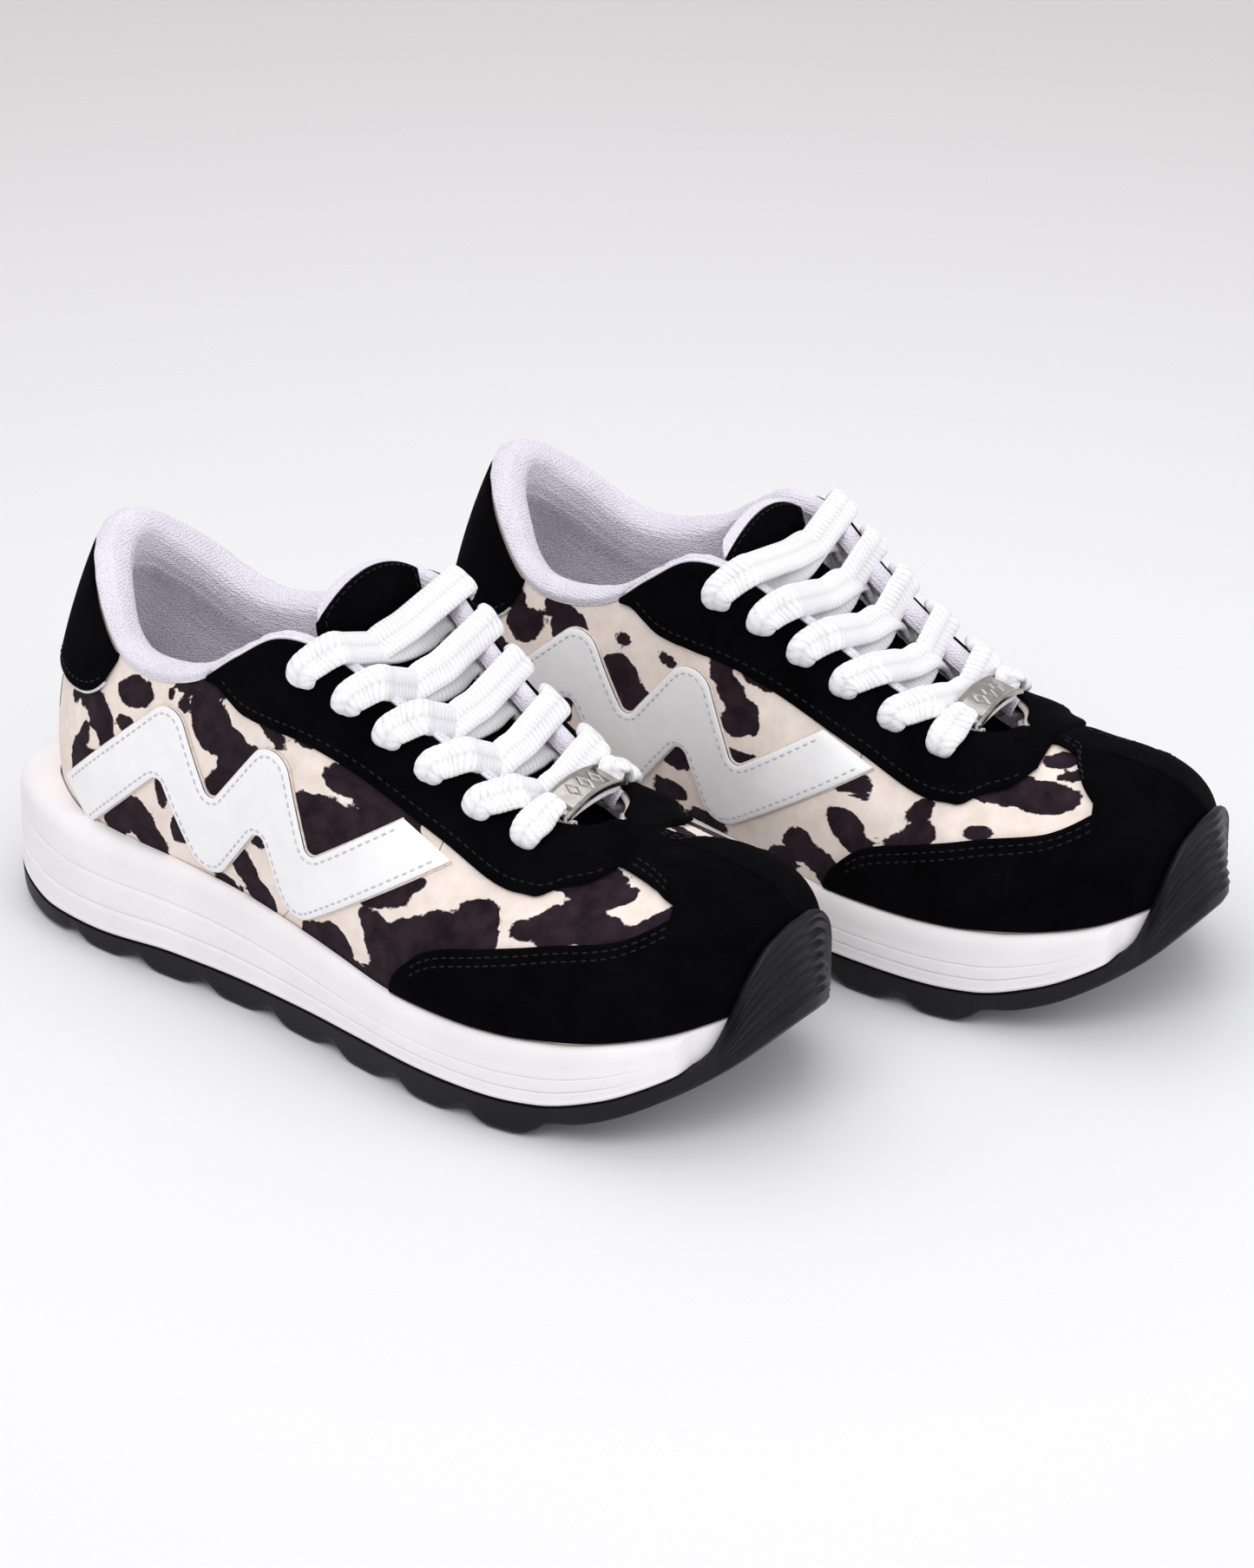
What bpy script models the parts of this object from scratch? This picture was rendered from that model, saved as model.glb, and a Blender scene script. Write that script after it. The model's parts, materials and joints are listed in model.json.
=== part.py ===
"""A pair of lace-up platform trainers, modelled as an assembly of separate pieces.

One shoe is designed in its own frame, in millimetres: +X to the toes, +Y to the inner (medial)
side, +Z up, the back of the heel at x = 0 and the ground at z = 0.  The left shoe is its mirror
image.  Each shoe hangs on an empty, and both empties are moved at the end so that the origin is
the middle of the pair's footprint.
"""
import math

import bmesh
import bpy
import numpy as np
from mathutils import Vector

MM = 0.001

# Where the left shoe stands beside the right one.
LEFT_TURN = 4.5
LEFT_PLACE = (60.6, 110.8)

# The sole seen from above, from the heel to the toe tip, on the outer and on the inner side.
OUTER_EDGE = [(-7, 0), (-6, -10), (-2.5, -20), (4, -28.5), (14, -34.5), (28, -39), (50, -41.5),
              (75, -42), (100, -42.8), (125, -46), (150, -50.5), (175, -54.5), (198, -55),
              (218, -51.5), (232, -47), (243, -40.5), (252, -32.5), (259.6, -22.5), (266, -11),
              (270, -2.5), (271.5, 4)]
INNER_EDGE = [(-7, 0), (-6, 10), (-2.5, 20), (4, 28.5), (14, 34), (28, 38), (50, 40),
              (75, 40.5), (100, 41), (125, 43.5), (150, 47.5), (175, 51.5), (198, 53),
              (218, 51), (232, 47.5), (243, 43), (252, 36.5), (260, 27.5), (266.3, 17.5),
              (270.1, 10.5), (271.5, 4)]
HEEL_BACK = -7.0
TOE_TIP = 271.5

# Heights along the shoe, and distances in from the sole's edge: (x, value).
RIM = [(-7, 45), (10, 44.3), (22, 42), (35, 39.8), (66, 39.5), (84, 38.6), (102, 36.7), (121, 34.3),
       (140, 31.8), (159, 29.4), (178, 29), (196, 29.5), (219, 31), (232, 33.3), (243, 35.4),
       (256, 38.5), (271.5, 42)]
SOLE_LINE = [(-7, 20), (0, 13), (12.8, 8.6), (23, 6.9), (41, 6.6), (74, 8.8), (105, 9), (145, 9.8),
             (199, 10.2), (213, 11), (232, 16), (246, 22.5), (256, 29), (264, 34.8), (271.5, 38.5)]
BUMPER_TOP = [(-7, 0), (250, 0), (256, 1.8), (257.8, 5), (259.6, 10), (262.5, 18.5), (266, 24),
              (270, 26), (271.5, 25.8)]
BUMPER_LEAN = [(-7, 0), (257, 0), (259.6, 0.3), (262.5, 1), (266, 3), (270, 5), (271.5, 5.5)]
BUMPER_WALL = [(-7, 0.5), (245, 0.5), (256, 2.2), (271.5, 2.2)]
UPPER_INSET = [(-7, 17), (2, 14.5), (12, 11.5), (20, 10), (30, 8.3), (40, 7.3), (66, 5.2), (84, 4.4),
               (120, 4), (240, 4), (252, 4.6), (260, 6), (266, 8.2), (271.5, 9.5)]

# The wavy tread.
WAVE_FIRST = 45.0
WAVE_PITCH = 26.4
WAVE_COUNT = 7
WAVE_PROFILE = [(-13.2, 3.6), (-8.8, 1.1), (-4.6, 0), (4.6, 0), (8.8, 1.1)]
TREAD_HEEL = [(-7, 15), (-6, 12.5), (-3.2, 8.4), (2.5, 4.8), (10.5, 2), (20, 0.8), (27.5, 1.2)]
TREAD_TOE = [(216.6, 5.2), (226, 7), (236, 10.5), (246, 15.5), (254, 20), (260.5, 24.5), (266, 29.5),
             (269.4, 32.8), (271.2, 34.4), (271.5, 34.6)]

# Rows of the upper, from the heel centre round to the toe centre, the same on both sides.
# Each row: station on the sole outline, direction it leans out in degrees from +X, its top point
# (x, half width, z), then how far the curve swells out and rises above the sole, and how far it
# swells out and drops below the top point.
ROWS = [
    (-7, 180, (21, 0, 120), (3.5, 24), (11, 25)),
    (2.5, 147, (25, 13, 116.5), (4, 24), (10, 25)),
    (20, 120, (36, 24.5, 106.5), (4.5, 22), (8, 23)),
    (40, 102, (49, 31.5, 96), (4.5, 19), (6.5, 19)),
    (61, 94, (63, 33.5, 93.3), (4.5, 18), (5.5, 18)),
    (82, 92, (80, 34.5, 98), (4.5, 20), (5.5, 19)),
    (98, 92, (93, 32.5, 108), (5, 24), (8, 20)),
    (112, 92, (106, 30, 116), (5.5, 28), (12, 15)),
    (126, 92, (122, 28.5, 114.5), (5.5, 28), (14, 10)),
    (145, 94, (142, 23, 102), (5, 22), (15, 15)),
    (166, 94, (165, 19.3, 88.5), (5, 20), (18, 13)),
    (186, 92, (186, 16, 78.5), (4.5, 19), (20, 10)),
    (199, 90, (198, 10, 75.6), (4.5, 19), (28, 5)),
    (211, 85, (205, 0, 75), (4, 18), (34, 3.3)),
    (230, 80, (222, 0, 73), (3.5, 17), (33, 3.3)),
    (247, 59, (222, 0, 73), (4, 20), (31.5, 3.3)),
    (259, 35, (222, 0, 73), (4.5, 24), (31.5, 2.3)),
    (267, 12, (222, 0, 73), (5, 27), (33, 1.5)),
    (271.5, 0, (222, 0, 73), (5, 28), (34, 1)),
]
LAST_ROW = len(ROWS) - 1
THROAT_ROW = 13
POLE_ROW = 14
CENTRE_LINE = [(0, 0), (90, 0.8), (115, 2.7), (205, 2.9), (222, 3.2), (271.5, 4)]

# Layers of the upper, as distances out from the printed fabric's face.
TRIM = (1.35, 2.15)
FABRIC = (-1.0, 0.0)
STIFFENER = (-3.3, -2.5)
LINING = (-5.1, -4.2)

# Laces and eyelets, numbered from the toe end up.
EYELET_ROWS = [11.1, 10.33, 9.65, 9.05, 8.45, 7.8]
EYELET_DEPTH = 9.0
EYELET_RADIUS = 3.2


# ---------------------------------------------------------------- curves

def hermite(knots, values, at, slopes):
    """Cubic interpolation through values with the given slopes."""
    index = np.clip(np.searchsorted(knots, at, side="right") - 1, 0, len(knots) - 2)
    span = knots[index + 1] - knots[index]
    u = (at - knots[index]) / span
    return ((2 * u ** 3 - 3 * u ** 2 + 1) * values[index]
            + (u ** 3 - 2 * u ** 2 + u) * span * slopes[index]
            + (3 * u ** 2 - 2 * u ** 3) * values[index + 1]
            + (u ** 3 - u ** 2) * span * slopes[index + 1])


def along(table, x):
    """The smooth value of a (position, value) table at x, without overshoot between its rows."""
    knots = np.array([row[0] for row in table], float)
    values = np.array([row[1] for row in table], float)
    grades = np.diff(values) / np.diff(knots)
    slopes = np.concatenate([[grades[0]], np.zeros(len(knots) - 2), [grades[-1]]])
    for i in range(1, len(knots) - 1):
        if grades[i - 1] * grades[i] > 0:
            slopes[i] = 2 * grades[i - 1] * grades[i] / (grades[i - 1] + grades[i])
    return float(hermite(knots, values, min(max(x, knots[0]), knots[-1]), slopes))


def straight(table, x):
    """The value of a (position, value) table at x, with straight lines between its rows."""
    return float(np.interp(x, [row[0] for row in table], [row[1] for row in table]))


def closed_outline():
    """The sole outline as one dense closed loop: outer side to the toe, then back."""
    points = np.array(OUTER_EDGE + INNER_EDGE[-2:0:-1], float)
    points = np.vstack([points, points[:1]])
    knots = np.concatenate([[0], np.cumsum(np.linalg.norm(np.diff(points, axis=0), axis=1))])
    before = np.vstack([points[-2:-1], points[:-1]])
    after = np.vstack([points[1:], points[1:2]])
    reach = np.linalg.norm(after - points, axis=1) + np.linalg.norm(points - before, axis=1)
    slopes = (after - before) / reach[:, None]
    dense = [hermite(knots, points, at, slopes) for at in np.linspace(0, knots[-1], 1201)]
    return np.array(dense)


def side_edges():
    """Dense (points, outward normals) of the outer (-1) and the inner (+1) side, heel to toe."""
    loop = closed_outline()
    tangent = np.gradient(np.vstack([loop[-2:-1], loop, loop[1:2]]), axis=0)[1:-1]
    normal = np.column_stack([tangent[:, 1], -tangent[:, 0]])
    normal /= np.linalg.norm(normal, axis=1)[:, None]
    normal[[0, -1]] = (-1, 0)
    toe = int(np.argmax(loop[:, 0]))
    if np.dot(normal[toe // 2], loop[toe // 2] - np.array([TOE_TIP / 2, 0])) < 0:
        normal = -normal
    normal[[0, -1]] = (-1, 0)
    normal[toe] = (1, 0)
    return {-1: (loop[:toe + 1], normal[:toe + 1]), 1: (loop[toe:][::-1], normal[toe:][::-1])}


EDGES = side_edges()


def edge_point(side, x, inset, z):
    """A point of the sole outline at station x, moved in by inset and put at height z."""
    points, normals = EDGES[side]
    y = np.interp(x, points[:, 0], points[:, 1])
    normal = np.array([np.interp(x, points[:, 0], normals[:, axis]) for axis in (0, 1)])
    normal /= np.linalg.norm(normal)
    return np.array([x - normal[0] * inset, y - normal[1] * inset, z])


def centre_y(x):
    return straight(CENTRE_LINE, x)


# ---------------------------------------------------------------- the upper's surface

def row_controls(row, side):
    """The four control points of one row of the upper: foot, low, high and top."""
    station, angle, top, low, high = row
    out = np.array([math.cos(math.radians(angle)), side * math.sin(math.radians(angle)), 0])
    up = np.array([0, 0, 1.0])
    foot = edge_point(side, station, along(UPPER_INSET, station), along(RIM, station) - 2.6)
    crown = np.array([top[0], centre_y(top[0]) + side * top[1], top[2]])
    return np.array([foot, foot + out * low[0] + up * low[1], crown + out * high[0] - up * high[1], crown])


def upper_loop():
    """Control points of every row round the shoe: outer side to the toe, then the inner back."""
    outer = [row_controls(row, -1) for row in ROWS]
    inner = [row_controls(row, 1) for row in ROWS]
    return np.array(outer + inner[-2:0:-1])


def loop_slopes():
    """Smooth slopes round the loop, with the ridge and its front end kept where both sides meet."""
    slopes = (np.roll(LOOP, -1, axis=0) - np.roll(LOOP, 1, axis=0)) / 2
    for row in (THROAT_ROW, -THROAT_ROW):
        slopes[row, 3, 1] = 0
    slopes[POLE_ROW:len(LOOP) - POLE_ROW + 1, 3] = 0
    return slopes


LOOP = upper_loop()
LOOP_SLOPES = loop_slopes()


def controls(q):
    """Control points at row position q: negative on the outer side, positive on the inner."""
    place = (-q) % len(LOOP)
    index = int(place) % len(LOOP)
    after = (index + 1) % len(LOOP)
    u = place - int(place)
    return ((2 * u ** 3 - 3 * u ** 2 + 1) * LOOP[index] + (u ** 3 - 2 * u ** 2 + u) * LOOP_SLOPES[index]
            + (3 * u ** 2 - 2 * u ** 3) * LOOP[after] + (u ** 3 - u ** 2) * LOOP_SLOPES[after])


def bezier(points, t):
    return ((1 - t) ** 3 * points[0] + 3 * t * (1 - t) ** 2 * points[1]
            + 3 * t ** 2 * (1 - t) * points[2] + t ** 3 * points[3])


def ridge_normal(q):
    """The normal on the centre ridge in front of the throat, where both sides meet."""
    ahead = controls(LAST_ROW)
    run = ahead[2] - ahead[3]
    if abs(q) < POLE_ROW:
        run = controls(min(abs(q) + 0.05, POLE_ROW))[3] - controls(abs(q) - 0.05)[3]
    run[1] = 0
    normal = np.array([-run[2], 0, run[0]])
    return normal / np.linalg.norm(normal)


def surface_normal(q, t):
    if t > 0.995 and abs(q) >= THROAT_ROW:
        return ridge_normal(q)
    step = 0.02
    across = bezier(controls(q + step), t) - bezier(controls(q - step), t)
    rise = bezier(controls(q), min(t + step, 1)) - bezier(controls(q), max(t - step, 0))
    normal = np.cross(across, rise)
    normal /= np.linalg.norm(normal)
    outward = bezier(controls(q), t) - np.array([TOE_TIP / 2, 0, 30])
    outward[0] *= 0.2
    return normal if np.dot(normal, outward) > 0 else -normal


def surface(q, t, lift=0.0):
    """A point of the upper, lifted off the printed fabric's face by lift."""
    return bezier(controls(q), t) + lift * surface_normal(q, t)


def section_lengths(q):
    """Heights t along a row and the lengths from the sole up to them."""
    heights = np.linspace(0, 1, 41)
    points = np.array([bezier(controls(q), t) for t in heights])
    steps = np.linalg.norm(np.diff(points, axis=0), axis=1)
    return heights, np.concatenate([[0], np.cumsum(steps)])


def height_below_top(q, depth):
    """t of the point that lies depth below the top edge, measured along the surface."""
    heights, lengths = section_lengths(q)
    return float(np.interp(lengths[-1] - depth, lengths, heights))


def height_above_sole(q, rise):
    """t of the point that lies rise above the sole, measured along the surface."""
    heights, lengths = section_lengths(q)
    return float(np.interp(rise, lengths, heights))


def at_top(q, lift, depth):
    """A point near the top edge: lift outward, depth down (negative above the edge)."""
    if depth >= 0:
        return surface(q, height_below_top(q, depth), lift)
    points = controls(q)
    rise = points[3] - points[2]
    return surface(q, 1, lift) - depth * rise / np.linalg.norm(rise)


# ---------------------------------------------------------------- mesh building

class Piece:
    """Vertices and faces of one closed body, gathered in shoe millimetres."""

    def __init__(self):
        self.points = []
        self.faces = []

    def add(self, point):
        self.points.append(point)
        return len(self.points) - 1

    def ring(self, points):
        return [self.add(point) for point in points]

    def bridge(self, first, second, closed=True):
        count = len(first)
        for i in range(count if closed else count - 1):
            j = (i + 1) % count
            self.faces.append((first[i], first[j], second[j], second[i]))

    def cap(self, ring):
        self.faces.append(tuple(ring))

    def ladder(self, ring):
        """Close a ring that runs up one side of the sole and down the other."""
        for i in range(len(ring) // 2):
            rung = (ring[i], ring[i + 1], ring[-i - 1], ring[-i])
            self.faces.append(tuple(dict.fromkeys(rung)))

    def solid(self):
        mesh = bmesh.new()
        verts = [mesh.verts.new(point) for point in self.points]
        for face in self.faces:
            mesh.faces.new([verts[i] for i in face])
        bmesh.ops.triangulate(mesh, faces=mesh.faces)
        bmesh.ops.recalc_face_normals(mesh, faces=mesh.faces)
        return mesh


def shell(grids, layer):
    """A thick patch over grids of (q, t) places, which join wherever their places meet."""
    known = {}
    places = []
    faces = []

    def spot(place):
        key = tuple(np.round(surface(*place), 2))
        if key not in known:
            known[key] = len(places)
            places.append(place)
        return known[key]

    for grid in grids:
        spots = [[spot(place) for place in column] for column in grid]
        for near, far in zip(spots, spots[1:]):
            for j in range(len(near) - 1):
                face = tuple(dict.fromkeys((near[j], far[j], far[j + 1], near[j + 1])))
                if len(face) > 2:
                    faces.append(face)
    return thicken(faces, [[surface(q, t, lift) for q, t in places] for lift in layer])


def thicken(faces, layers):
    """A closed body from one sheet of faces and its two layers of points."""
    piece = Piece()
    below = piece.ring(layers[0])
    above = piece.ring(layers[1])
    edges = {}
    for face in faces:
        piece.faces.append(tuple(above[i] for i in face))
        piece.faces.append(tuple(below[i] for i in face))
        for a, b in zip(face, face[1:] + face[:1]):
            key = (min(a, b), max(a, b))
            edges[key] = edges.get(key, 0) + 1
    for (a, b), uses in edges.items():
        if uses == 1:
            piece.faces.append((above[a], above[b], below[b], below[a]))
    return piece


def material(name, colour, roughness, metallic=0.0):
    found = bpy.data.materials.get(name)
    if found:
        return found
    made = bpy.data.materials.new(name)
    made.use_nodes = True
    shader = made.node_tree.nodes["Principled BSDF"]
    shader.inputs["Base Color"].default_value = (*colour, 1)
    shader.inputs["Roughness"].default_value = roughness
    shader.inputs["Metallic"].default_value = metallic
    made.diffuse_color = (*colour, 1)
    return made


BLACK_SUEDE = ("black_suede", (0.012, 0.012, 0.014), 0.95)
PRINTED_SUEDE = ("printed_microsuede", (0.84, 0.70, 0.60), 0.9)
WHITE_LEATHER = ("white_leather", (0.86, 0.85, 0.83), 0.45)
TERRY = ("white_terry", (0.80, 0.79, 0.86), 1.0)
WHITE_FOAM = ("white_foam", (0.82, 0.80, 0.72), 0.9)
MIDSOLE_FOAM = ("midsole_foam", (0.80, 0.76, 0.76), 0.6)
BLACK_RUBBER = ("black_rubber", (0.02, 0.021, 0.024), 0.5)
LASTING_BOARD = ("lasting_board", (0.45, 0.38, 0.28), 0.9)
STIFF_PLASTIC = ("stiffener_sheet", (0.70, 0.66, 0.55), 0.8)
COTTON = ("white_cotton_braid", (0.90, 0.90, 0.92), 0.95)
CLEAR_PLASTIC = ("aglet_plastic", (0.85, 0.86, 0.88), 0.3)
NICKEL = ("polished_nickel", (0.72, 0.69, 0.64), 0.15, 1.0)


class Shoe:
    """One shoe's name, handedness and the empty that carries its pieces."""

    def __init__(self, name, mirrored, tongue_top):
        self.name = name
        self.mirrored = mirrored
        self.tongue_top = tongue_top
        self.holder = bpy.data.objects.new(name + "_shoe", None)
        bpy.context.collection.objects.link(self.holder)

    def place(self, point):
        x, y, z = point
        return Vector((x, -y if self.mirrored else y, z)) * MM

    def build(self, name, piece, finish, pivot=(0, 0, 0)):
        """Make the named object, with its origin at pivot, and hang it on the shoe's empty."""
        solid = piece.solid()
        origin = self.place(pivot)
        for vert in solid.verts:
            vert.co = self.place(vert.co) - origin
        if self.mirrored:
            bmesh.ops.reverse_faces(solid, faces=solid.faces)
        mesh = bpy.data.meshes.new(self.name + "_" + name)
        solid.to_mesh(mesh)
        solid.free()
        mesh.materials.append(material(*finish))
        mesh.shade_smooth()
        mesh.set_sharp_from_angle(angle=math.radians(35))
        made = bpy.data.objects.new(mesh.name, mesh)
        made.location = origin
        made.parent = self.holder
        bpy.context.collection.objects.link(made)
        return made


# ---------------------------------------------------------------- the sole

BOARD_STATIONS = [-7, -4, 3, 14, 32, 55, 80, 110, 140, 170, 200, 225, 243, 255, 263, 268.5, 271.5]
NOSE_INSET = [(-7, 0), (249, 0), (253, 2.6), (259, 3.2), (264, 3.6), (267, 4.6), (271.5, 5.2)]
TREAD_INSET = [(-7, 2.5), (20, 1.5), (150, 1.5), (200, 3), (230, 3.5), (262, 3), (271.5, 3.5)]
TREAD_ROUNDING = [(-7, 2), (240, 2.2), (258, 3.5), (271.5, 6.5)]
SOLE_GAP = 0.6
SOLE_BOND_INSET = 1.0
SEAT_DEPTH = 3.0


def rim(x):
    return along(RIM, x)


def sole_line(x):
    return along(SOLE_LINE, x)


def upper_inset(x):
    return along(UPPER_INSET, x)


def nose_inset(x):
    return straight(NOSE_INSET, x)


def sole_ring(piece, stations, inset, height):
    """A ring round the sole: out along the outer side to the toe, back along the inner side."""
    outer = [edge_point(-1, x, inset(x), height(x)) for x in stations]
    inner = [edge_point(1, x, inset(x), height(x)) for x in stations[-2:0:-1]]
    return piece.ring(outer + inner)


def stack(stations, rings):
    """A closed body from rings listed from the bottom outside to the top inside."""
    piece = Piece()
    made = [sole_ring(piece, stations, inset, height) for inset, height in rings]
    piece.ladder(made[0])
    for lower, upper in zip(made, made[1:]):
        piece.bridge(lower, upper)
    piece.ladder(made[-1])
    return piece


def tread_profile():
    """The bottom of the tread along the shoe: heel curve, waves, toe curve."""
    profile = list(TREAD_HEEL)
    for wave in range(WAVE_COUNT):
        centre = WAVE_FIRST + wave * WAVE_PITCH
        profile += [(centre + offset, height) for offset, height in WAVE_PROFILE]
    return profile + TREAD_TOE


def midsole_stations():
    """Stations shared with the tread: those at the heel and the toe, and two to each wave."""
    waves = [WAVE_FIRST + WAVE_PITCH * (half / 2 - 0.5) for half in range(2 * WAVE_COUNT)]
    return [x for x, z in TREAD_HEEL] + waves + [x for x, z in TREAD_TOE]


def outsole(shoe):
    profile = tread_profile()
    stations = [x for x, z in profile]

    def lean(x):
        return along(BUMPER_LEAN, x)

    def tread(x):
        return straight(profile, x)

    def edge_top(x):
        return sole_line(x) + along(BUMPER_TOP, x)

    def edge_low(x):
        return min(tread(x) + along(TREAD_ROUNDING, x), edge_top(x) - 1.0)

    rings = [
        (lambda x: straight(TREAD_INSET, x), tread),
        (lambda x: 0.3, edge_low),
        (lean, edge_top),
        (lambda x: lean(x) + straight(BUMPER_WALL, x), edge_top),
        (lambda x: max(SOLE_BOND_INSET, nose_inset(x) - 0.8), sole_line),
    ]
    return shoe.build("outsole", stack(stations, rings), BLACK_RUBBER)


def midsole(shoe):
    def base(x):
        return sole_line(x) + SOLE_GAP

    def wall(x, share, most):
        return min(share * (rim(x) - base(x)), most)

    def deeper(x, amount):
        return max(amount, nose_inset(x))

    rings = [
        (lambda x: deeper(x, SOLE_BOND_INSET), base),
        (lambda x: deeper(x, 0.2), lambda x: base(x) + wall(x, 0.2, 1.5)),
        (lambda x: deeper(x, 0.0), lambda x: base(x) + wall(x, 0.45, 30)),
        (lambda x: deeper(x, 0.25 * upper_inset(x)), lambda x: rim(x) - wall(x, 0.35, 5)),
        (lambda x: deeper(x, upper_inset(x) - 2.2), lambda x: rim(x) - wall(x, 0.15, 0.8)),
        (lambda x: upper_inset(x) - 0.8, rim),
        (lambda x: upper_inset(x) - 0.8, lambda x: rim(x) - SEAT_DEPTH),
    ]
    return shoe.build("midsole", stack(midsole_stations(), rings), MIDSOLE_FOAM)


def insole_board(shoe):
    rings = [
        (lambda x: upper_inset(x) + 5.0, lambda x: rim(x) - SEAT_DEPTH + 0.4),
        (lambda x: upper_inset(x) + 5.0, lambda x: rim(x) - SEAT_DEPTH + 1.9),
    ]
    return shoe.build("insole_board", stack(BOARD_STATIONS, rings), LASTING_BOARD)


INSOLE_PIVOT = (250, 4, 36.5)
INSOLE_OUTER = [(23.5, 0), (24.8, -7.2), (28.6, -13.2), (36, -18.2), (55.6, -23.4), (80.3, -26.2),
                (111.8, -29.4), (142.5, -35.2), (171.7, -41), (198.8, -42.6), (221.5, -38), (236, -30.6),
                (244.6, -21.2), (250.6, -10.4), (253.6, -2.4), (254.4, 4.2)]
INSOLE_INNER = [(23.5, 0), (24.8, 7), (28.6, 12.6), (36, 17), (55.6, 22), (80.1, 24.6), (111.4, 27.3),
                (142.2, 32.4), (171.8, 38), (199.6, 40.8), (222, 37.8), (237, 32.4), (245.4, 24.9),
                (250.8, 15.6), (253.4, 9.4), (254.4, 4.2)]
INSOLE_UNDER = [(23.5, 44), (28.6, 42.4), (36, 40.3), (55.6, 39.2), (80, 38.5), (111.6, 35.2),
                (142.4, 31.3), (171.7, 28.7), (199, 29.3), (221.5, 31.6), (236, 35.1), (244.6, 37.9),
                (250.6, 40), (253.5, 41.1), (254.4, 41.6)]
# Rings of the insole from its underside over its raised edge to its top: (inset, rise).
HEEL_CUP = [(0.6, 0), (0, 6.5), (2.0, 6.5), (6.4, 4.0)]
FRONT_CUP = [(0.6, 0), (0, 4.5), (2.0, 4.5), (6.4, 4.0)]
HEEL_CUP_END = 120.0


def insole_outline():
    """The insole's outline with its inward directions: outer side to the toe, then back."""
    points = np.array(INSOLE_OUTER + INSOLE_INNER[-2:0:-1], float)
    run = np.roll(points, -1, axis=0) - np.roll(points, 1, axis=0)
    inward = np.column_stack([-run[:, 1], run[:, 0]])
    return points, inward / np.linalg.norm(inward, axis=1)[:, None]


def insole(shoe):
    """The loose padded insole, which lifts at the heel about its toe end."""
    points, inward = insole_outline()
    heights = [along(INSOLE_UNDER, x) for x, y in points]
    piece = Piece()
    rings = []
    for heel, front in zip(HEEL_CUP, FRONT_CUP):
        ring = []
        for (x, y), (in_x, in_y), under in zip(points, inward, heights):
            inset, rise = heel if x < HEEL_CUP_END else front
            ring.append(np.array([x + inset * in_x, y + inset * in_y, under + rise]))
        rings.append(piece.ring(ring))
    piece.ladder(rings[0])
    for lower, upper in zip(rings, rings[1:]):
        piece.bridge(lower, upper)
    piece.ladder(rings[-1])
    return shoe.build("insole", piece, TERRY, INSOLE_PIVOT)


# ---------------------------------------------------------------- the fabric shells

SEAM_FOOT = 7.1
SEAM_SLOPE = 4.9
SEAM_TOP = 10.1
WALL_LEVELS = [0, 0.2, 0.45, 0.73, 1]
SEAM_GAP = 0.02


def seam(t):
    """Row position of the seam between the quarter and the vamp, which runs forward as it rises."""
    return min(SEAM_FOOT + SEAM_SLOPE * t, SEAM_TOP)


def quarter(shoe, name, side):
    """Printed side panel from the heel seam to the slanting seam under the side band."""
    columns = 14
    grid = []
    for i in range(columns + 1):
        share = i / columns
        grid.append([(side * (SEAM_GAP / 2 + share * (seam(t) - SEAM_GAP)), t) for t in WALL_LEVELS])
    return shoe.build(name, shell([grid], FABRIC), PRINTED_SUEDE)


def vamp(shoe):
    """Printed front panel, both sides of the toe in one piece."""
    columns = 15
    grids = []
    for side in (-1, 1):
        grid = []
        for i in range(columns + 1):
            share = i / columns
            grid.append([(side * (seam(t) + SEAM_GAP + share * (LAST_ROW - seam(t) - SEAM_GAP)), t)
                         for t in WALL_LEVELS])
        grids.append(grid)
    return shoe.build("vamp", shell(grids, FABRIC), PRINTED_SUEDE)


# ---------------------------------------------------------------- black suede trim

EYESTAY_TOP_MARGIN = 0.6
EYESTAY_LOW = [(5.25, 1.8), (5.6, 6), (6, 13), (6.5, 21), (7, 25.5), (7.5, 27), (8, 26.5), (9, 23.5),
               (10, 22.5), (11, 24.5), (11.7, 27), (12.3, 29.5), (12.8, 29.5), (13.1, 27.5),
               (13.3, 23), (13.45, 16)]
EYESTAY_COLUMNS = [5.25, 5.5, 5.9, 6.6, 7.5, 8.4, 9.3, 10.2, 11, 11.8, 12.6, 13, 13.2, 13.45]
CAP_RISE = [(9.75, 3.6), (9.85, 9), (10.05, 14), (10.35, 19.5), (10.7, 22.5), (12, 27.5), (13, 30),
            (14, 32.5), (15.1, 36.5)]
STRIP_DEPTH = {-1: [(13.5, 17.5), (14, 19), (14.5, 21), (15.1, 26)],
               1: [(13.5, 3.5), (14, 6), (14.5, 11.5), (15.1, 25)]}
WINDOW_TIP = 15.1
STRIP_START = 13.5
CAP_COLUMNS = [9.75, 9.9, 10.25, 10.7, 11.6, 12.6, 13.5, 14.3, 15.1, 15.8, 16.5, 17.3, 18]
TRIM_FOOT = 3.4


def levels(low, high, count):
    return [low + (high - low) * i / count for i in range(count + 1)]


def eyestay(shoe):
    """The U-shaped lace panel: a band along the opening and a rounded tab in front of it."""
    grids = []
    for side in (-1, 1):
        grid = []
        for row in EYESTAY_COLUMNS:
            top = 0 if row >= THROAT_ROW else EYESTAY_TOP_MARGIN
            depths = levels(straight(EYESTAY_LOW, row), top, 3)
            grid.append([(side * row, height_below_top(side * row, depth)) for depth in depths])
        grids.append(grid)
    return shoe.build("eyestay", shell(grids, TRIM), BLACK_SUEDE)


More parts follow.
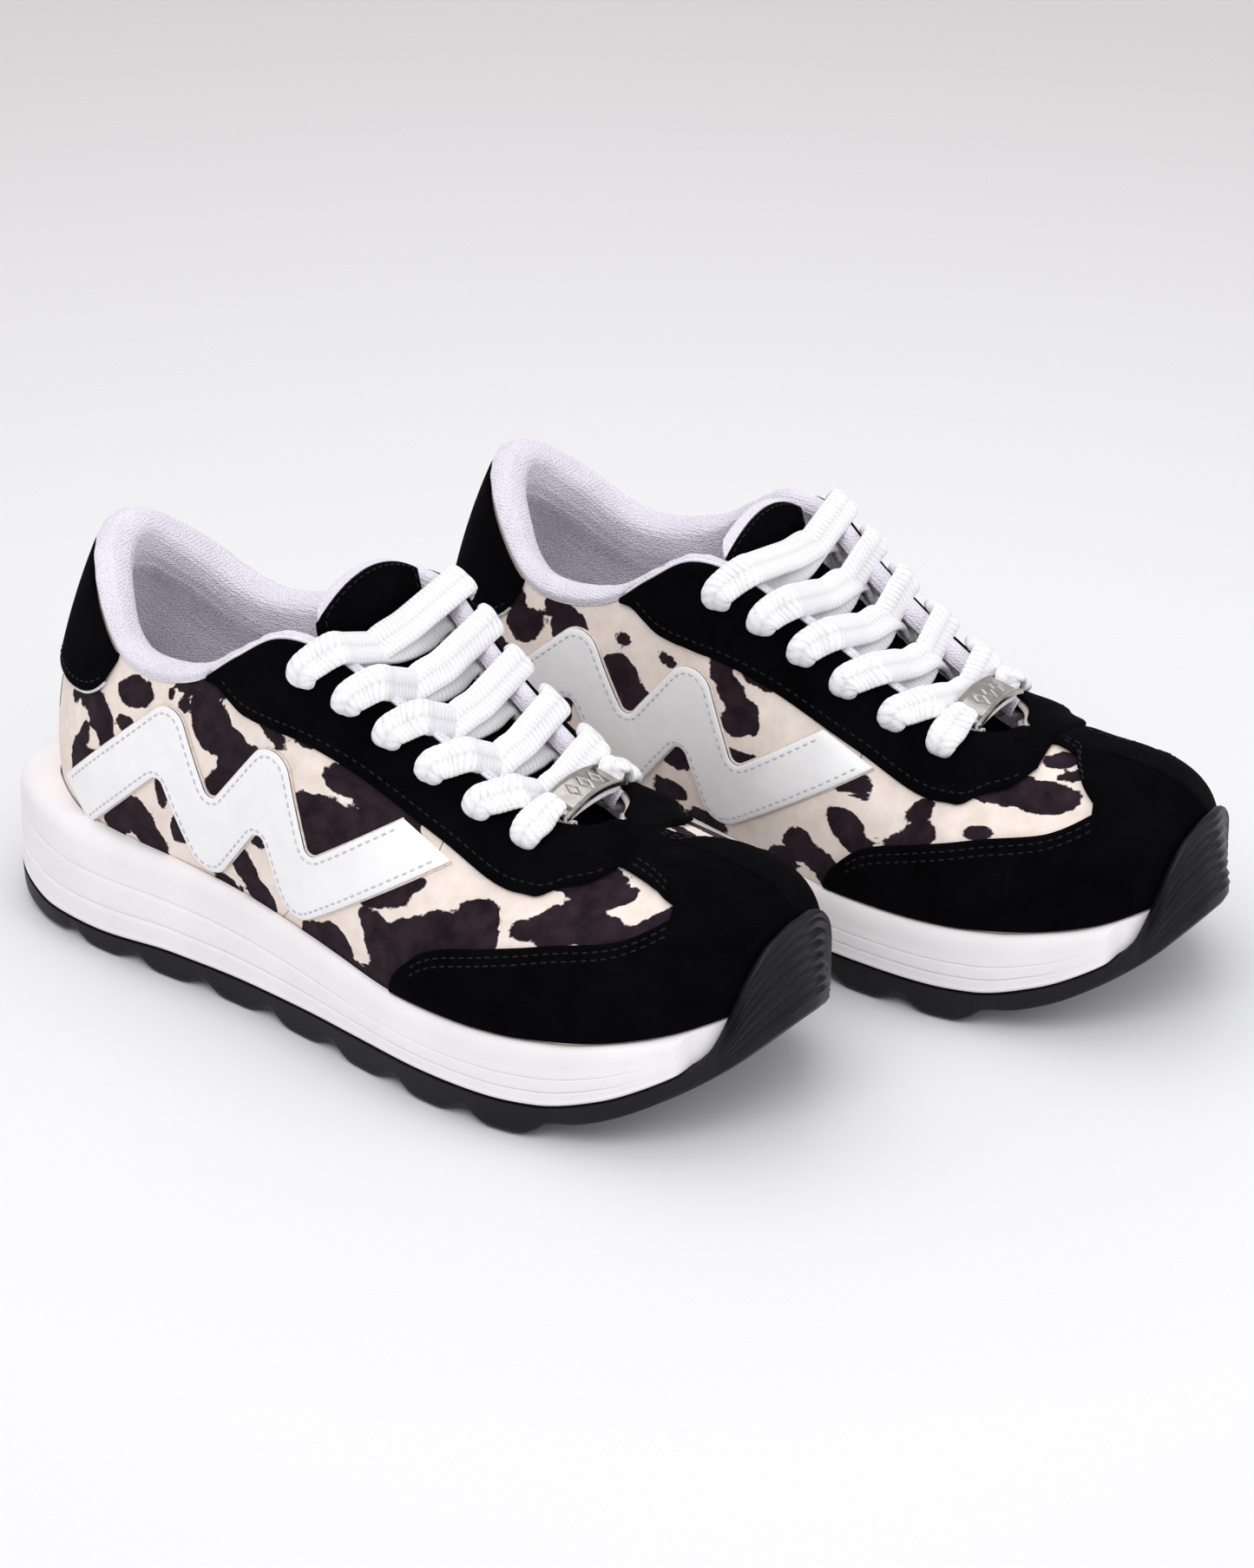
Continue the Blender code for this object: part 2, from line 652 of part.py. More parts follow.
def toe_cap(shoe):
    """The mudguard round the toe, with the strip that runs back up the middle."""
    grids = []
    for side in (-1, 1):
        cap = []
        strip = []
        for row in CAP_COLUMNS:
            q = side * row
            tip = height_below_top(q, straight(STRIP_DEPTH[side], min(row, WINDOW_TIP)))
            foot = height_above_sole(q, TRIM_FOOT)
            upper = tip if row >= WINDOW_TIP else height_above_sole(q, straight(CAP_RISE, row))
            cap.append([(q, t) for t in levels(foot, upper, 3)])
            if row >= STRIP_START:
                strip.append([(q, t) for t in levels(tip, 1, 3)])
        grids += [cap, strip]
    return shoe.build("toe_cap", shell(grids, TRIM), BLACK_SUEDE)


HEEL_TAB_LOW = [(0, 40), (0.8, 39), (1.6, 33), (2.3, 24), (2.75, 13), (2.95, 3)]


def heel_tab(shoe):
    """The suede piece over the top of the heel seam."""
    grid = []
    for row in (-2.95, -2.75, -2.3, -1.6, -0.8, 0, 0.8, 1.6, 2.3, 2.75, 2.95):
        depths = levels(straight(HEEL_TAB_LOW, abs(row)), 0.8, 4)
        grid.append([(row, height_below_top(row, depth)) for depth in depths])
    return shoe.build("heel_tab", shell([grid], TRIM), BLACK_SUEDE)


# ---------------------------------------------------------------- the side bands

BAND_HALF_WIDTH = 8.0
BAND_ROUTE = [(35.5, 47.5), (71, 79), (88, 48.8), (112, 79), (124, 46.5), (163.1, 71.7)]
BAND_END_SLANT = 5.0
BAND_ARC_STEPS = 4


def row_at(side, x, z):
    """The (q, t) place on one side of the upper that is seen at (x, z) from the side."""
    low, high = 1.2, THROAT_ROW - 0.5
    for _ in range(26):
        row = 0.5 * (low + high)
        heights = np.linspace(0, 1, 31)
        points = np.array([bezier(controls(side * row), t) for t in heights])
        t = float(np.interp(z, points[:, 2], heights))
        if bezier(controls(side * row), t)[0] < x:
            low = row
        else:
            high = row
    return side * row, t


def band_edges():
    """The zigzag's two edges in side view: round outside each bend, mitred inside it."""
    route = [np.array(point, float) for point in BAND_ROUTE]
    runs = [(b - a) / np.linalg.norm(b - a) for a, b in zip(route, route[1:])]
    width = BAND_HALF_WIDTH
    start_across = width * np.array([-runs[0][1], runs[0][0]])
    left, right = [route[0] + start_across], [route[0] - start_across]
    for corner, d1, d2 in zip(route[1:], runs, runs[1:]):
        turn = math.atan2(d1[0] * d2[1] - d1[1] * d2[0], float(np.dot(d1, d2)))
        inner = corner + (d2 - d1) / np.linalg.norm(d2 - d1) * width / math.cos(turn / 2)
        start = math.atan2(d1[1], d1[0]) + (math.pi / 2 if turn < 0 else -math.pi / 2)
        outer = [corner + width * np.array([math.cos(start + turn * i / BAND_ARC_STEPS),
                                            math.sin(start + turn * i / BAND_ARC_STEPS)])
                 for i in range(BAND_ARC_STEPS + 1)]
        folded = [inner] * len(outer)
        new_left, new_right = (outer, folded) if turn < 0 else (folded, outer)
        left += [(left[-1] + new_left[0]) / 2] + new_left
        right += [(right[-1] + new_right[0]) / 2] + new_right
    across = width * np.array([-runs[-1][1], runs[-1][0]])
    end_left = route[-1] + across - BAND_END_SLANT * runs[-1]
    end_right = route[-1] - across + BAND_END_SLANT * runs[-1]
    last_left, last_right = left[-1], right[-1]
    for share in (0.25, 0.5, 0.75, 1):
        left.append(last_left + share * (end_left - last_left))
        right.append(last_right + share * (end_right - last_right))
    return left, right


def zigzag(shoe, name, side):
    """A leather band that climbs and falls in strokes along the side."""
    left, right = band_edges()
    grid = [[row_at(side, *point) for point in (upper, (upper + lower) / 2, lower)]
            for upper, lower in zip(left, right)]
    return shoe.build(name, shell([grid], TRIM), WHITE_LEATHER)


# ---------------------------------------------------------------- inside the upper

COUNTER_LEVELS = [0.05, 0.25, 0.45, 0.65]
PUFF_LEVELS = [0.05, 0.25, 0.45, 0.65]


def heel_counter(shoe):
    grid = [[(row, t) for t in COUNTER_LEVELS] for row in np.linspace(-3.3, 3.3, 13)]
    return shoe.build("heel_counter", shell([grid], STIFFENER), STIFF_PLASTIC)


def toe_puff(shoe):
    grids = [[[(side * row, t) for t in PUFF_LEVELS] for row in np.linspace(15, LAST_ROW, 7)]
             for side in (-1, 1)]
    return shoe.build("toe_puff", shell(grids, STIFFENER), STIFF_PLASTIC)


def vamp_lining(shoe):
    grids = [[[(side * row, t) for t in (0.05, 0.27, 0.5, 0.75, 1)]
              for row in np.linspace(12.1, LAST_ROW, 12)] for side in (-1, 1)]
    return shoe.build("vamp_lining", shell(grids, LINING), TERRY)


# The collar's cross-section as (lift, depth) points, for the padded collar and for the thin
# lining beside the laces, from the outer lip over the crest and down the inside, then back up.
COLLAR_PADDED = [(0.3, -0.9), (0.6, -2.6), (-2.4, -5.2), (-7.6, -4.4), (-10.3, -0.5),
                 (-11.2, 9), (-7.6, 31), (-5.4, 44),
                 (-4.4, 44), (-6.5, 31), (-10.0, 9), (-9.1, 0.2), (-4.6, -3.6), (-1.7, -1.0)]
COLLAR_THIN = [(0.3, -0.9), (0.3, -1.8), (-1.8, -2.7), (-4.2, -2.2), (-5.1, -0.5),
               (-5.2, 9), (-5.2, 24), (-5.2, 44),
               (-4.2, 44), (-4.2, 24), (-4.2, 9), (-4.1, 0.4), (-2.6, -1.0), (-1.7, -1.0)]
COLLAR_END = 11.7
PADDED_UNTIL = 4.2
THIN_FROM = 6.2
FOAM_SECTION = [(-3.6, 1.0), (-4.2, 27), (-7.0, 23), (-9.1, 9), (-8.2, 0.8), (-4.6, -2.4)]
FOAM_END = 4.1


def swept(rows, section):
    """A closed body from a ring of points at each row position, with its two ends filled."""
    piece = Piece()
    rings = [piece.ring(section(row)) for row in rows]
    for near, far in zip(rings, rings[1:]):
        piece.bridge(near, far)
    piece.cap(rings[0])
    piece.cap(rings[-1])
    return piece


def collar_section(q):
    ease = min(max((abs(q) - PADDED_UNTIL) / (THIN_FROM - PADDED_UNTIL), 0), 1)
    ease = ease * ease * (3 - 2 * ease)
    deepest = section_lengths(q)[1][-1] - 1.5
    points = []
    for padded, thin in zip(COLLAR_PADDED, COLLAR_THIN):
        lift = padded[0] + ease * (thin[0] - padded[0])
        depth = padded[1] + ease * (thin[1] - padded[1])
        if depth > 40:
            depth = deepest
        points.append(at_top(q, lift, depth))
    return points


def collar_lining(shoe):
    """Terry lining: rolls over the collar's top edge and runs down inside to the insole."""
    rows = np.array([0, 0.8, 1.6, 2.4, 3.3, 4.2, 5.1, 6, 6.9] + EYELET_ROWS[::-1] + [COLLAR_END])
    rows = np.concatenate([-rows[:0:-1], rows])
    return shoe.build("collar_lining", swept(rows, collar_section), TERRY)


def collar_foam(shoe):
    def section(q):
        return [at_top(q, lift, depth) for lift, depth in FOAM_SECTION]

    return shoe.build("collar_foam", swept(np.linspace(-FOAM_END, FOAM_END, 15), section), WHITE_FOAM)


# ---------------------------------------------------------------- the tongue

TONGUE_PIVOT = (206, 2.9, 64)
# Stations along the tongue: (x, z of the middle, half width).
TONGUE_STATIONS = [(207, 67.5, 17), (197, 70, 18), (186, 72.5, 20), (165, 81.5, 22), (142, 94, 24),
                   (128, 103.5, 24), (118.5, 111, 23.5)]
TONGUE_TOP = [(0.5, -2.5, 22), (0.85, -4.0, 19), (1.0, -4.0, 15)]
TONGUE_DROP = 8.3
RIGHT_TONGUE_TOP = 129
LEFT_TONGUE_TOP = 124
TONGUE_FACE = (-1.3, 0.0)
TONGUE_PAD = (-7.0, -1.9)


def tongue_grid(shoe):
    """Points of the tongue's face: rows from the toe end up, columns across."""
    stations = list(TONGUE_STATIONS)
    x, z, _ = stations[-1]
    for share, lean, half in TONGUE_TOP:
        stations.append((x + lean, z + share * (shoe.tongue_top - z), half))
    rows = []
    for x, z, half in stations:
        rows.append([np.array([x, centre_y(x) + share * half, z - TONGUE_DROP * share ** 2])
                     for share in (-1, -0.6, 0, 0.6, 1)])
    return np.array(rows)


def tongue_sheet(shoe, layer):
    grid = tongue_grid(shoe)
    along_run = np.gradient(grid, axis=0)
    across_run = np.gradient(grid, axis=1)
    normals = np.cross(along_run, across_run)
    normals /= np.linalg.norm(normals, axis=2)[:, :, None]
    if normals[1][2][2] < 0:
        normals = -normals
    rows, columns = grid.shape[:2]
    faces = [(i * columns + j, (i + 1) * columns + j, (i + 1) * columns + j + 1, i * columns + j + 1)
             for i in range(rows - 1) for j in range(columns - 1)]
    flat = grid.reshape(-1, 3)
    normals = normals.reshape(-1, 3)
    return thicken(faces, [list(flat + lift * normals) for lift in layer])


def tongue(shoe):
    shoe.build("tongue", tongue_sheet(shoe, TONGUE_FACE), BLACK_SUEDE, TONGUE_PIVOT)
    shoe.build("tongue_lining", tongue_sheet(shoe, TONGUE_PAD), TERRY, TONGUE_PIVOT)


# ---------------------------------------------------------------- eyelets, lace and tag

EYELET_SIDES = 6
PUNCH_SPAN = (-8.0, 4.0)
LACE_OVER = 4.1
LACE_UNDER = -7.4
LACE_SIDES = 8
HOLE_LACE = 4.0
CROSSING_WIDTH = 7.6
CROSSING_THICKNESS = 2.6
CROSSING_LOW = 2.4
CROSSING_HIGH = 5.6
CROSSING_SHARES = (0.27, 0.48, 0.64)
# How far along to the next eyelet a crossing leaves from under the edge, and back to the last
# one it comes over the far edge.
LEAVE_SHARE = 0.12
REACH_SHARE = 0.35
TUCKED_WIDTH = 6.4
TUCKED_THICKNESS = 2.4
TURN_WIDTH = 8.4
TURN_THICKNESS = 2.8
# The two tucked ends: (row, depth below the edge, lift).
TAIL = [(7.8, 15, -8.0), (7.8, 20, -8.6), (7.8, 25, -9.4)]
TAIL_WIDTH = 4.0
TAIL_THICKNESS = 2.6
AGLET_LENGTH = 12.0
AGLET_RADIUS = 1.7
TAG_CENTRE = (190.5, 2.9, 82.8)
TAG_SLOPE = 0.24
TAG_ARCH = 3.0
TAG_ACROSS = [-15.2, -14.1, -9.0, 0, 9.0, 14.1, 15.2]
TAG_ALONG = [-5, -4, 4, 5]
TAG_HALF_THICKNESS = 0.6
BAR_STOPS = [(6.0, -2.7, 7.8, 2.6), (9.6, -2.3, 7.0, 2.2), (11.4, 0.4, 6.8, 1.8),
             (13.6, 3.2, 6.8, 2.0), (15.6, 3.2, 6.8, 2.0)]


def eyelet(side, number):
    """(q, t) place of an eyelet's centre."""
    q = side * EYELET_ROWS[number]
    return q, height_below_top(q, EYELET_DEPTH)


def prism(piece, ends, radius, sides):
    """Add a straight bar with a regular outline between two points."""
    axis = Vector(ends[1] - ends[0]).normalized()
    lead = np.array(axis.orthogonal().normalized())
    turn = np.cross(np.array(axis), lead)
    rings = []
    for end in ends:
        angles = [2 * math.pi * i / sides for i in range(sides)]
        rings.append(piece.ring([end + radius * (math.cos(angle) * lead + math.sin(angle) * turn)
                                 for angle in angles]))
    piece.bridge(*rings)
    piece.cap(rings[0])
    piece.cap(rings[1])


def eyelet_punch(shoe):
    """Cutter for the twelve eyelet holes."""
    punches = Piece()
    for side in (-1, 1):
        for number in range(len(EYELET_ROWS)):
            q, t = eyelet(side, number)
            prism(punches, [surface(q, t, lift) for lift in PUNCH_SPAN], EYELET_RADIUS, EYELET_SIDES)
    cutter = shoe.build("eyelet_punch", punches, NICKEL)
    cutter.hide_render = True
    cutter.display_type = "WIRE"
    return cutter


def punch(target, cutter):
    cut = target.modifiers.new("eyelets", "BOOLEAN")
    cut.operation = "DIFFERENCE"
    cut.object = cutter


def tongue_height(x, y):
    """Height of the tongue's face at (x, y)."""
    stations = TONGUE_STATIONS[::-1]
    middle = float(np.interp(x, [row[0] for row in stations], [row[1] for row in stations]))
    half = float(np.interp(x, [row[0] for row in stations], [row[2] for row in stations]))
    return middle - TONGUE_DROP * ((y - centre_y(x)) / half) ** 2


def dive(side, number):
    """Stops of the lace over an eyelet's edge, down through it and back under the edge.

    Each stop is the lace's middle point, the way its flat side faces, its width and its thickness.
    """
    q, t = eyelet(side, number)
    normal = surface_normal(q, t)
    away = surface(q, t - 0.03) - surface(q, t)
    away /= np.linalg.norm(away)
    return [
        (at_top(q, LACE_OVER, 3.6), surface_normal(q, height_below_top(q, 3.6)), 8.6, 3.0),
        (surface(q, t, 4.4) - 1.6 * away, normal + 0.4 * away, 6.0, 3.2),
        (surface(q, t, 2.6), 0.5 * normal + away, HOLE_LACE, HOLE_LACE),
        (surface(q, t, -4.4), away - 0.2 * normal, HOLE_LACE, HOLE_LACE),
        (surface(q, t, -7.6) - 2.0 * away, 0.4 * away - normal, 5.0, 2.6),
    ]


def crossing(side, number):
    """Stops from under one edge, over the tongue and up over the far edge one eyelet higher."""
    here, above = EYELET_ROWS[number], EYELET_ROWS[number + 1]
    leave = side * (here + LEAVE_SHARE * (above - here))
    reach = -side * (above + REACH_SHARE * (here - above))
    start = at_top(leave, LACE_UNDER, 0.8)
    end = at_top(reach, LACE_OVER + 0.6, -0.8)
    start_up = surface_normal(leave, 1)
    end_up = surface_normal(reach, 1)
    rise = CROSSING_HIGH if side < 0 else CROSSING_LOW
    stops = [(start, start_up, TUCKED_WIDTH, TUCKED_THICKNESS)]
    for share in CROSSING_SHARES:
        point = start + share * (end - start)
        point[2] = tongue_height(point[0], point[1]) + rise
        up = start_up * (1 - share) + end_up * share
        stops.append((point, up, CROSSING_WIDTH, CROSSING_THICKNESS))
    inward = at_top(reach, 0, -1) - at_top(reach, 0, 0)
    climb = at_top(reach, 2.8, -7.8)
    return stops + [(climb, end_up + 0.6 * inward, TUCKED_WIDTH, TUCKED_THICKNESS),
                    (end, end_up, TURN_WIDTH, TURN_THICKNESS)]


def tag_point(along_tag, across_tag, lift):
    x, y, z = TAG_CENTRE
    height = z - TAG_SLOPE * along_tag - TAG_ARCH * (across_tag / TAG_ACROSS[-1]) ** 2
    return np.array([x + along_tag, y + across_tag, height + lift])


def bar(side):
    """Stops of the lowest bar, from under the tag's middle out through its slot."""
    return [(tag_point(0, side * across, lift), np.array([TAG_SLOPE, 0, 1]), width, thick)
            for across, lift, width, thick in BAR_STOPS]


def lace_half(side):
    """Rows from the tag out to one tucked end: point, facing direction, width and thickness."""
    rows = []
    facing = 1
    stops = bar(side)
    for number in range(len(EYELET_ROWS)):
        rows += [np.concatenate([point, facing * up, [wide, thick]]) for point, up, wide, thick in stops]
        rows += [np.concatenate([point, facing * up, [wide, thick]])
                 for point, up, wide, thick in dive(side, number)]
        facing = -facing
        if number + 1 < len(EYELET_ROWS):
            stops = crossing(side, number)
            side = -side
    for row, depth, lift in TAIL:
        normal = surface_normal(side * row, height_below_top(side * row, depth))
        rows.append(np.concatenate([at_top(side * row, lift, depth), facing * normal,
                                    [TAIL_WIDTH, TAIL_THICKNESS]]))
    return rows


def lace_rows():
    """The whole lace, from one tucked end over the lowest bar to the other."""
    middle = np.concatenate([tag_point(0, 0, -2.8), [TAG_SLOPE, 0, 1, 8.6, 2.6]])
    return np.array(lace_half(-1)[::-1] + [middle] + lace_half(1))


def lace(shoe):
    """The flat lace as one closed tube along its whole route."""
    rows = lace_rows()
    points = np.array([row[:3] for row in rows])
    runs = np.gradient(points, axis=0)
    piece = Piece()
    rings = []
    for point, run, row in zip(points, runs, rows):
        across = np.cross(run, row[3:6])
        across /= np.linalg.norm(across)
        up = np.cross(across, run)
        up /= np.linalg.norm(up)
        angles = [2 * math.pi * (i + 0.5) / LACE_SIDES for i in range(LACE_SIDES)]
        rings.append(piece.ring([point + 0.52 * row[6] * math.cos(angle) * across
                                 + 0.52 * row[7] * math.sin(angle) * up for angle in angles]))
    for near, far in zip(rings, rings[1:]):
        piece.bridge(near, far)
    piece.cap(rings[0])
    piece.cap(rings[-1])
    shoe.build("lace", piece, COTTON)
    tips = (("aglet_outer", points[0], points[1]), ("aglet_inner", points[-1], points[-2]))
    for name, end, before in tips:
        run = (end - before) / np.linalg.norm(end - before)
        tip = Piece()
        prism(tip, [end + 0.4 * run, end + (0.4 + AGLET_LENGTH) * run], AGLET_RADIUS, LACE_SIDES)
        shoe.build(name, tip, CLEAR_PLASTIC)


def lace_tag(shoe):
    """The metal plate on the lowest bar, with a slot near each end for the lace."""
    points = [(u, v) for v in TAG_ACROSS for u in TAG_ALONG]
    faces = []
    for i in range(len(TAG_ACROSS) - 1):
        for j in range(len(TAG_ALONG) - 1):
            slot = j == 1 and i in (1, 4)
            corner = i * len(TAG_ALONG) + j
            if not slot:
                faces.append((corner, corner + len(TAG_ALONG), corner + len(TAG_ALONG) + 1, corner + 1))
    layers = [[tag_point(u, v, lift) for u, v in points]
              for lift in (-TAG_HALF_THICKNESS, TAG_HALF_THICKNESS)]
    shoe.build("lace_tag", thicken(faces, layers), NICKEL)


# ---------------------------------------------------------------- build

def shoe_pieces(shoe):
    outsole(shoe)
    midsole(shoe)
    insole_board(shoe)
    insole(shoe)
    toe_cap(shoe)
    heel_tab(shoe)
    zigzag(shoe, "band_outer", -1)
    zigzag(shoe, "band_inner", 1)
    heel_counter(shoe)
    toe_puff(shoe)
    vamp_lining(shoe)
    collar_foam(shoe)
    tongue(shoe)
    lace(shoe)
    lace_tag(shoe)
    cutter = eyelet_punch(shoe)
    pierced = [quarter(shoe, "quarter_outer", -1), quarter(shoe, "quarter_inner", 1), vamp(shoe),
               eyestay(shoe), collar_lining(shoe)]
    for target in pierced:
        punch(target, cutter)


def footprint_middle():
    """The middle of the ground rectangle that holds both soles, in world metres."""
    corners = [sole.matrix_world @ vert.co for sole in bpy.data.objects
               if sole.name.endswith(("outsole", "midsole")) for vert in sole.data.vertices]
    middle = [(min(corner[axis] for corner in corners) + max(corner[axis] for corner in corners)) / 2
              for axis in (0, 1)]
    return Vector((*middle, 0))


def main():
    for old in list(bpy.data.objects):
        bpy.data.objects.remove(old)
    right = Shoe("right", False, RIGHT_TONGUE_TOP)
    left = Shoe("left", True, LEFT_TONGUE_TOP)
    left.holder.location = (LEFT_PLACE[0] * MM, LEFT_PLACE[1] * MM, 0)
    left.holder.rotation_euler = (0, 0, math.radians(LEFT_TURN))
    for shoe in (right, left):
        shoe_pieces(shoe)
    bpy.context.view_layer.update()
    middle = footprint_middle()
    for shoe in (right, left):
        shoe.holder.location -= middle
    bpy.context.view_layer.update()


main()
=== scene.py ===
"""The looks of a pair of lace-up platform trainers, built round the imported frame.

Each shoe is drawn in its own millimetre frame: +X to the toes, +Y to the inner side, +Z up, the
back of the heel at x = 0 and the ground at z = 0.  The frame's insole joints say where that shoe
frame stands in the world.
"""
import json
import math

import bmesh
import bpy
import numpy as np
from mathutils import Matrix, Vector


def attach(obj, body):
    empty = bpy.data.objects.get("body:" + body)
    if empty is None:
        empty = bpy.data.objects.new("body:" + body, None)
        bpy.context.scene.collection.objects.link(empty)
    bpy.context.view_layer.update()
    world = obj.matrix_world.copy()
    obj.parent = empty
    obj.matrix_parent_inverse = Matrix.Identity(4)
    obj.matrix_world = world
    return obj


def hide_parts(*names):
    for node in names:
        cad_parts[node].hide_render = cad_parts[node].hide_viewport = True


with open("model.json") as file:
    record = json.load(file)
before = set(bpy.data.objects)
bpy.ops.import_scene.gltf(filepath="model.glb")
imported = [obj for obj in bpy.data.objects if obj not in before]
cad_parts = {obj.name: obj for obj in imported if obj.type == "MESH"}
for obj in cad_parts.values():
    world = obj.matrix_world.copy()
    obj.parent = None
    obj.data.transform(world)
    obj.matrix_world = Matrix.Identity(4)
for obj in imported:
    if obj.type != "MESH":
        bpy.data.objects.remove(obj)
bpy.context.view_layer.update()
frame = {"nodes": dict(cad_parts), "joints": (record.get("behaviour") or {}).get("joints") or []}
MM = 0.001

# ---------------------------------------------------------------- the shoe's driving dimensions

# The sole's outline seen from above, heel to toe: (x, y).
OUTER_EDGE = [(-7, 0), (-6, -10), (-2.5, -20), (4, -28.5), (14, -34.5), (28, -39), (50, -41.5),
              (75, -42), (100, -42.8), (125, -46), (150, -50.5), (175, -54.5), (198, -55),
              (218, -51.5), (232, -47), (243, -40.5), (252, -32.5), (259.6, -22.5), (266, -11),
              (270, -2.5), (271.5, 4)]
INNER_EDGE = [(-7, 0), (-6, 10), (-2.5, 20), (4, 28.5), (14, 34), (28, 38), (50, 40),
              (75, 40.5), (100, 41), (125, 43.5), (150, 47.5), (175, 51.5), (198, 53),
              (218, 51), (232, 47.5), (243, 43), (252, 36.5), (260, 27.5), (266.3, 17.5),
              (270.1, 10.5), (271.5, 4)]
TOE_TIP = 271.5
HEEL_BACK = -7.0
# Heights of the midsole's rim and of its lower edge: (x, z).
RIM = [(-7, 45), (10, 44.3), (22, 42), (35, 39.8), (66, 39.5), (84, 38.6), (102, 36.7), (121, 34.3),
       (140, 31.8), (159, 29.4), (178, 29), (196, 29.5), (219, 31), (232, 33.3), (243, 35.4),
       (256, 38.5), (271.5, 42)]
SOLE_LINE = [(-7, 20), (0, 13), (12.8, 8.6), (23, 6.9), (41, 6.6), (74, 8.8), (105, 9), (145, 9.8),
             (199, 10.2), (213, 11), (232, 16), (246, 22.5), (256, 29), (264, 34.8), (271.5, 38.5)]
# Along the sole: (x, amount). The bumper's rise and lean, the upper's and the nose's inset.
BUMPER_TOP = [(-7, 0), (250, 0), (256, 1.8), (257.8, 5), (259.6, 10), (262.5, 18.5), (266, 24),
              (270, 26), (271.5, 25.8)]
BUMPER_LEAN = [(-7, 0), (257, 0), (259.6, 0.3), (262.5, 1), (266, 3), (270, 5), (271.5, 5.5)]
UPPER_INSET = [(-7, 17), (2, 14.5), (12, 11.5), (20, 10), (30, 8.3), (40, 7.3), (66, 5.2), (84, 4.4),
               (120, 4), (240, 4), (252, 4.6), (260, 6), (266, 8.2), (271.5, 9.5)]
NOSE_INSET = [(-7, 0), (249, 0), (253, 2.6), (259, 3.2), (264, 3.6), (267, 4.6), (271.5, 5.2)]
WAVE_FIRST = 45.0
WAVE_PITCH = 26.4
WAVE_COUNT = 7
WAVE_RISE = 3.6
# The tread's curves at the heel and the toe: (x, z).
TREAD_HEEL = [(-7, 15), (-6, 12.5), (-3.2, 8.4), (2.5, 4.8), (10.5, 2), (20, 0.8), (27.5, 1.2)]
TREAD_TOE = [(216.6, 5.2), (226, 7), (236, 10.5), (246, 15.5), (254, 20), (260.5, 24.5), (266, 29.5),
             (269.4, 32.8), (271.2, 34.4), (271.5, 34.6)]
# Rows of the upper, heel to toe: place on the sole, direction in degrees, top edge as
# (x, half width, height), then how far the curve's handles reach at the foot and at the top.
ROWS = [
    (-7, 180, (21, 0, 120), (3.5, 24), (11, 25)),
    (2.5, 147, (25, 13, 116.5), (4, 24), (10, 25)),
    (20, 120, (36, 24.5, 106.5), (4.5, 22), (8, 23)),
    (40, 102, (49, 31.5, 96), (4.5, 19), (6.5, 19)),
    (61, 94, (63, 33.5, 93.3), (4.5, 18), (5.5, 18)),
    (82, 92, (80, 34.5, 98), (4.5, 20), (5.5, 19)),
    (98, 92, (93, 32.5, 108), (5, 24), (8, 20)),
    (112, 92, (106, 30, 116), (5.5, 28), (12, 15)),
    (126, 92, (122, 28.5, 114.5), (5.5, 28), (14, 10)),
    (145, 94, (142, 23, 102), (5, 22), (15, 15)),
    (166, 94, (165, 19.3, 88.5), (5, 20), (18, 13)),
    (186, 92, (186, 16, 78.5), (4.5, 19), (20, 10)),
    (199, 90, (198, 10, 75.6), (4.5, 19), (28, 5)),
    (211, 85, (205, 0, 75), (4, 18), (34, 3.3)),
    (230, 80, (222, 0, 73), (3.5, 17), (33, 3.3)),
    (247, 59, (222, 0, 73), (4, 20), (31.5, 3.3)),
    (259, 35, (222, 0, 73), (4.5, 24), (31.5, 2.3)),
    (267, 12, (222, 0, 73), (5, 27), (33, 1.5)),
    (271.5, 0, (222, 0, 73), (5, 28), (34, 1)),
]
OUTLINE_COUNT = 2401
LAST_ROW = len(ROWS) - 1
THROAT_ROW = 13
POLE_ROW = 14
CENTRE_LINE = [(0, 0), (90, 0.8), (115, 2.7), (205, 2.9), (222, 3.2), (271.5, 4)]


# ---------------------------------------------------------------- curves

def monotone_slopes(knots, values):
    grades = np.diff(values) / np.diff(knots)
    slopes = np.concatenate([[grades[0]], np.zeros(len(knots) - 2), [grades[-1]]])
    for i in range(1, len(knots) - 1):
        if grades[i - 1] * grades[i] > 0:
            slopes[i] = 2 * grades[i - 1] * grades[i] / (grades[i - 1] + grades[i])
    return slopes


def hermite(knots, values, at, slopes):
    """Cubic interpolation, for many places at once."""
    at = np.clip(at, knots[0], knots[-1])
    index = np.clip(np.searchsorted(knots, at, side="right") - 1, 0, len(knots) - 2)
    span = knots[index + 1] - knots[index]
    u = (at - knots[index]) / span
    if values.ndim > 1:
        u = u[..., None]
        span = span[..., None]
    return ((2 * u ** 3 - 3 * u ** 2 + 1) * values[index] + (u ** 3 - 2 * u ** 2 + u) * span * slopes[index]
            + (3 * u ** 2 - 2 * u ** 3) * values[index + 1] + (u ** 3 - u ** 2) * span * slopes[index + 1])


def along(table, x):
    """The smooth value of a (position, value) table, without overshoot."""
    knots = np.array([row[0] for row in table], float)
    values = np.array([row[1] for row in table], float)
    return hermite(knots, values, np.asarray(x, float), monotone_slopes(knots, values))


def straight(table, x):
    return np.interp(x, [row[0] for row in table], [row[1] for row in table])


def smooth_step(low, high, x):
    u = np.clip((np.asarray(x, float) - low) / (high - low), 0, 1)
    return u * u * (3 - 2 * u)


def unit(vectors):
    return vectors / np.maximum(np.linalg.norm(vectors, axis=-1, keepdims=True), 1e-9)


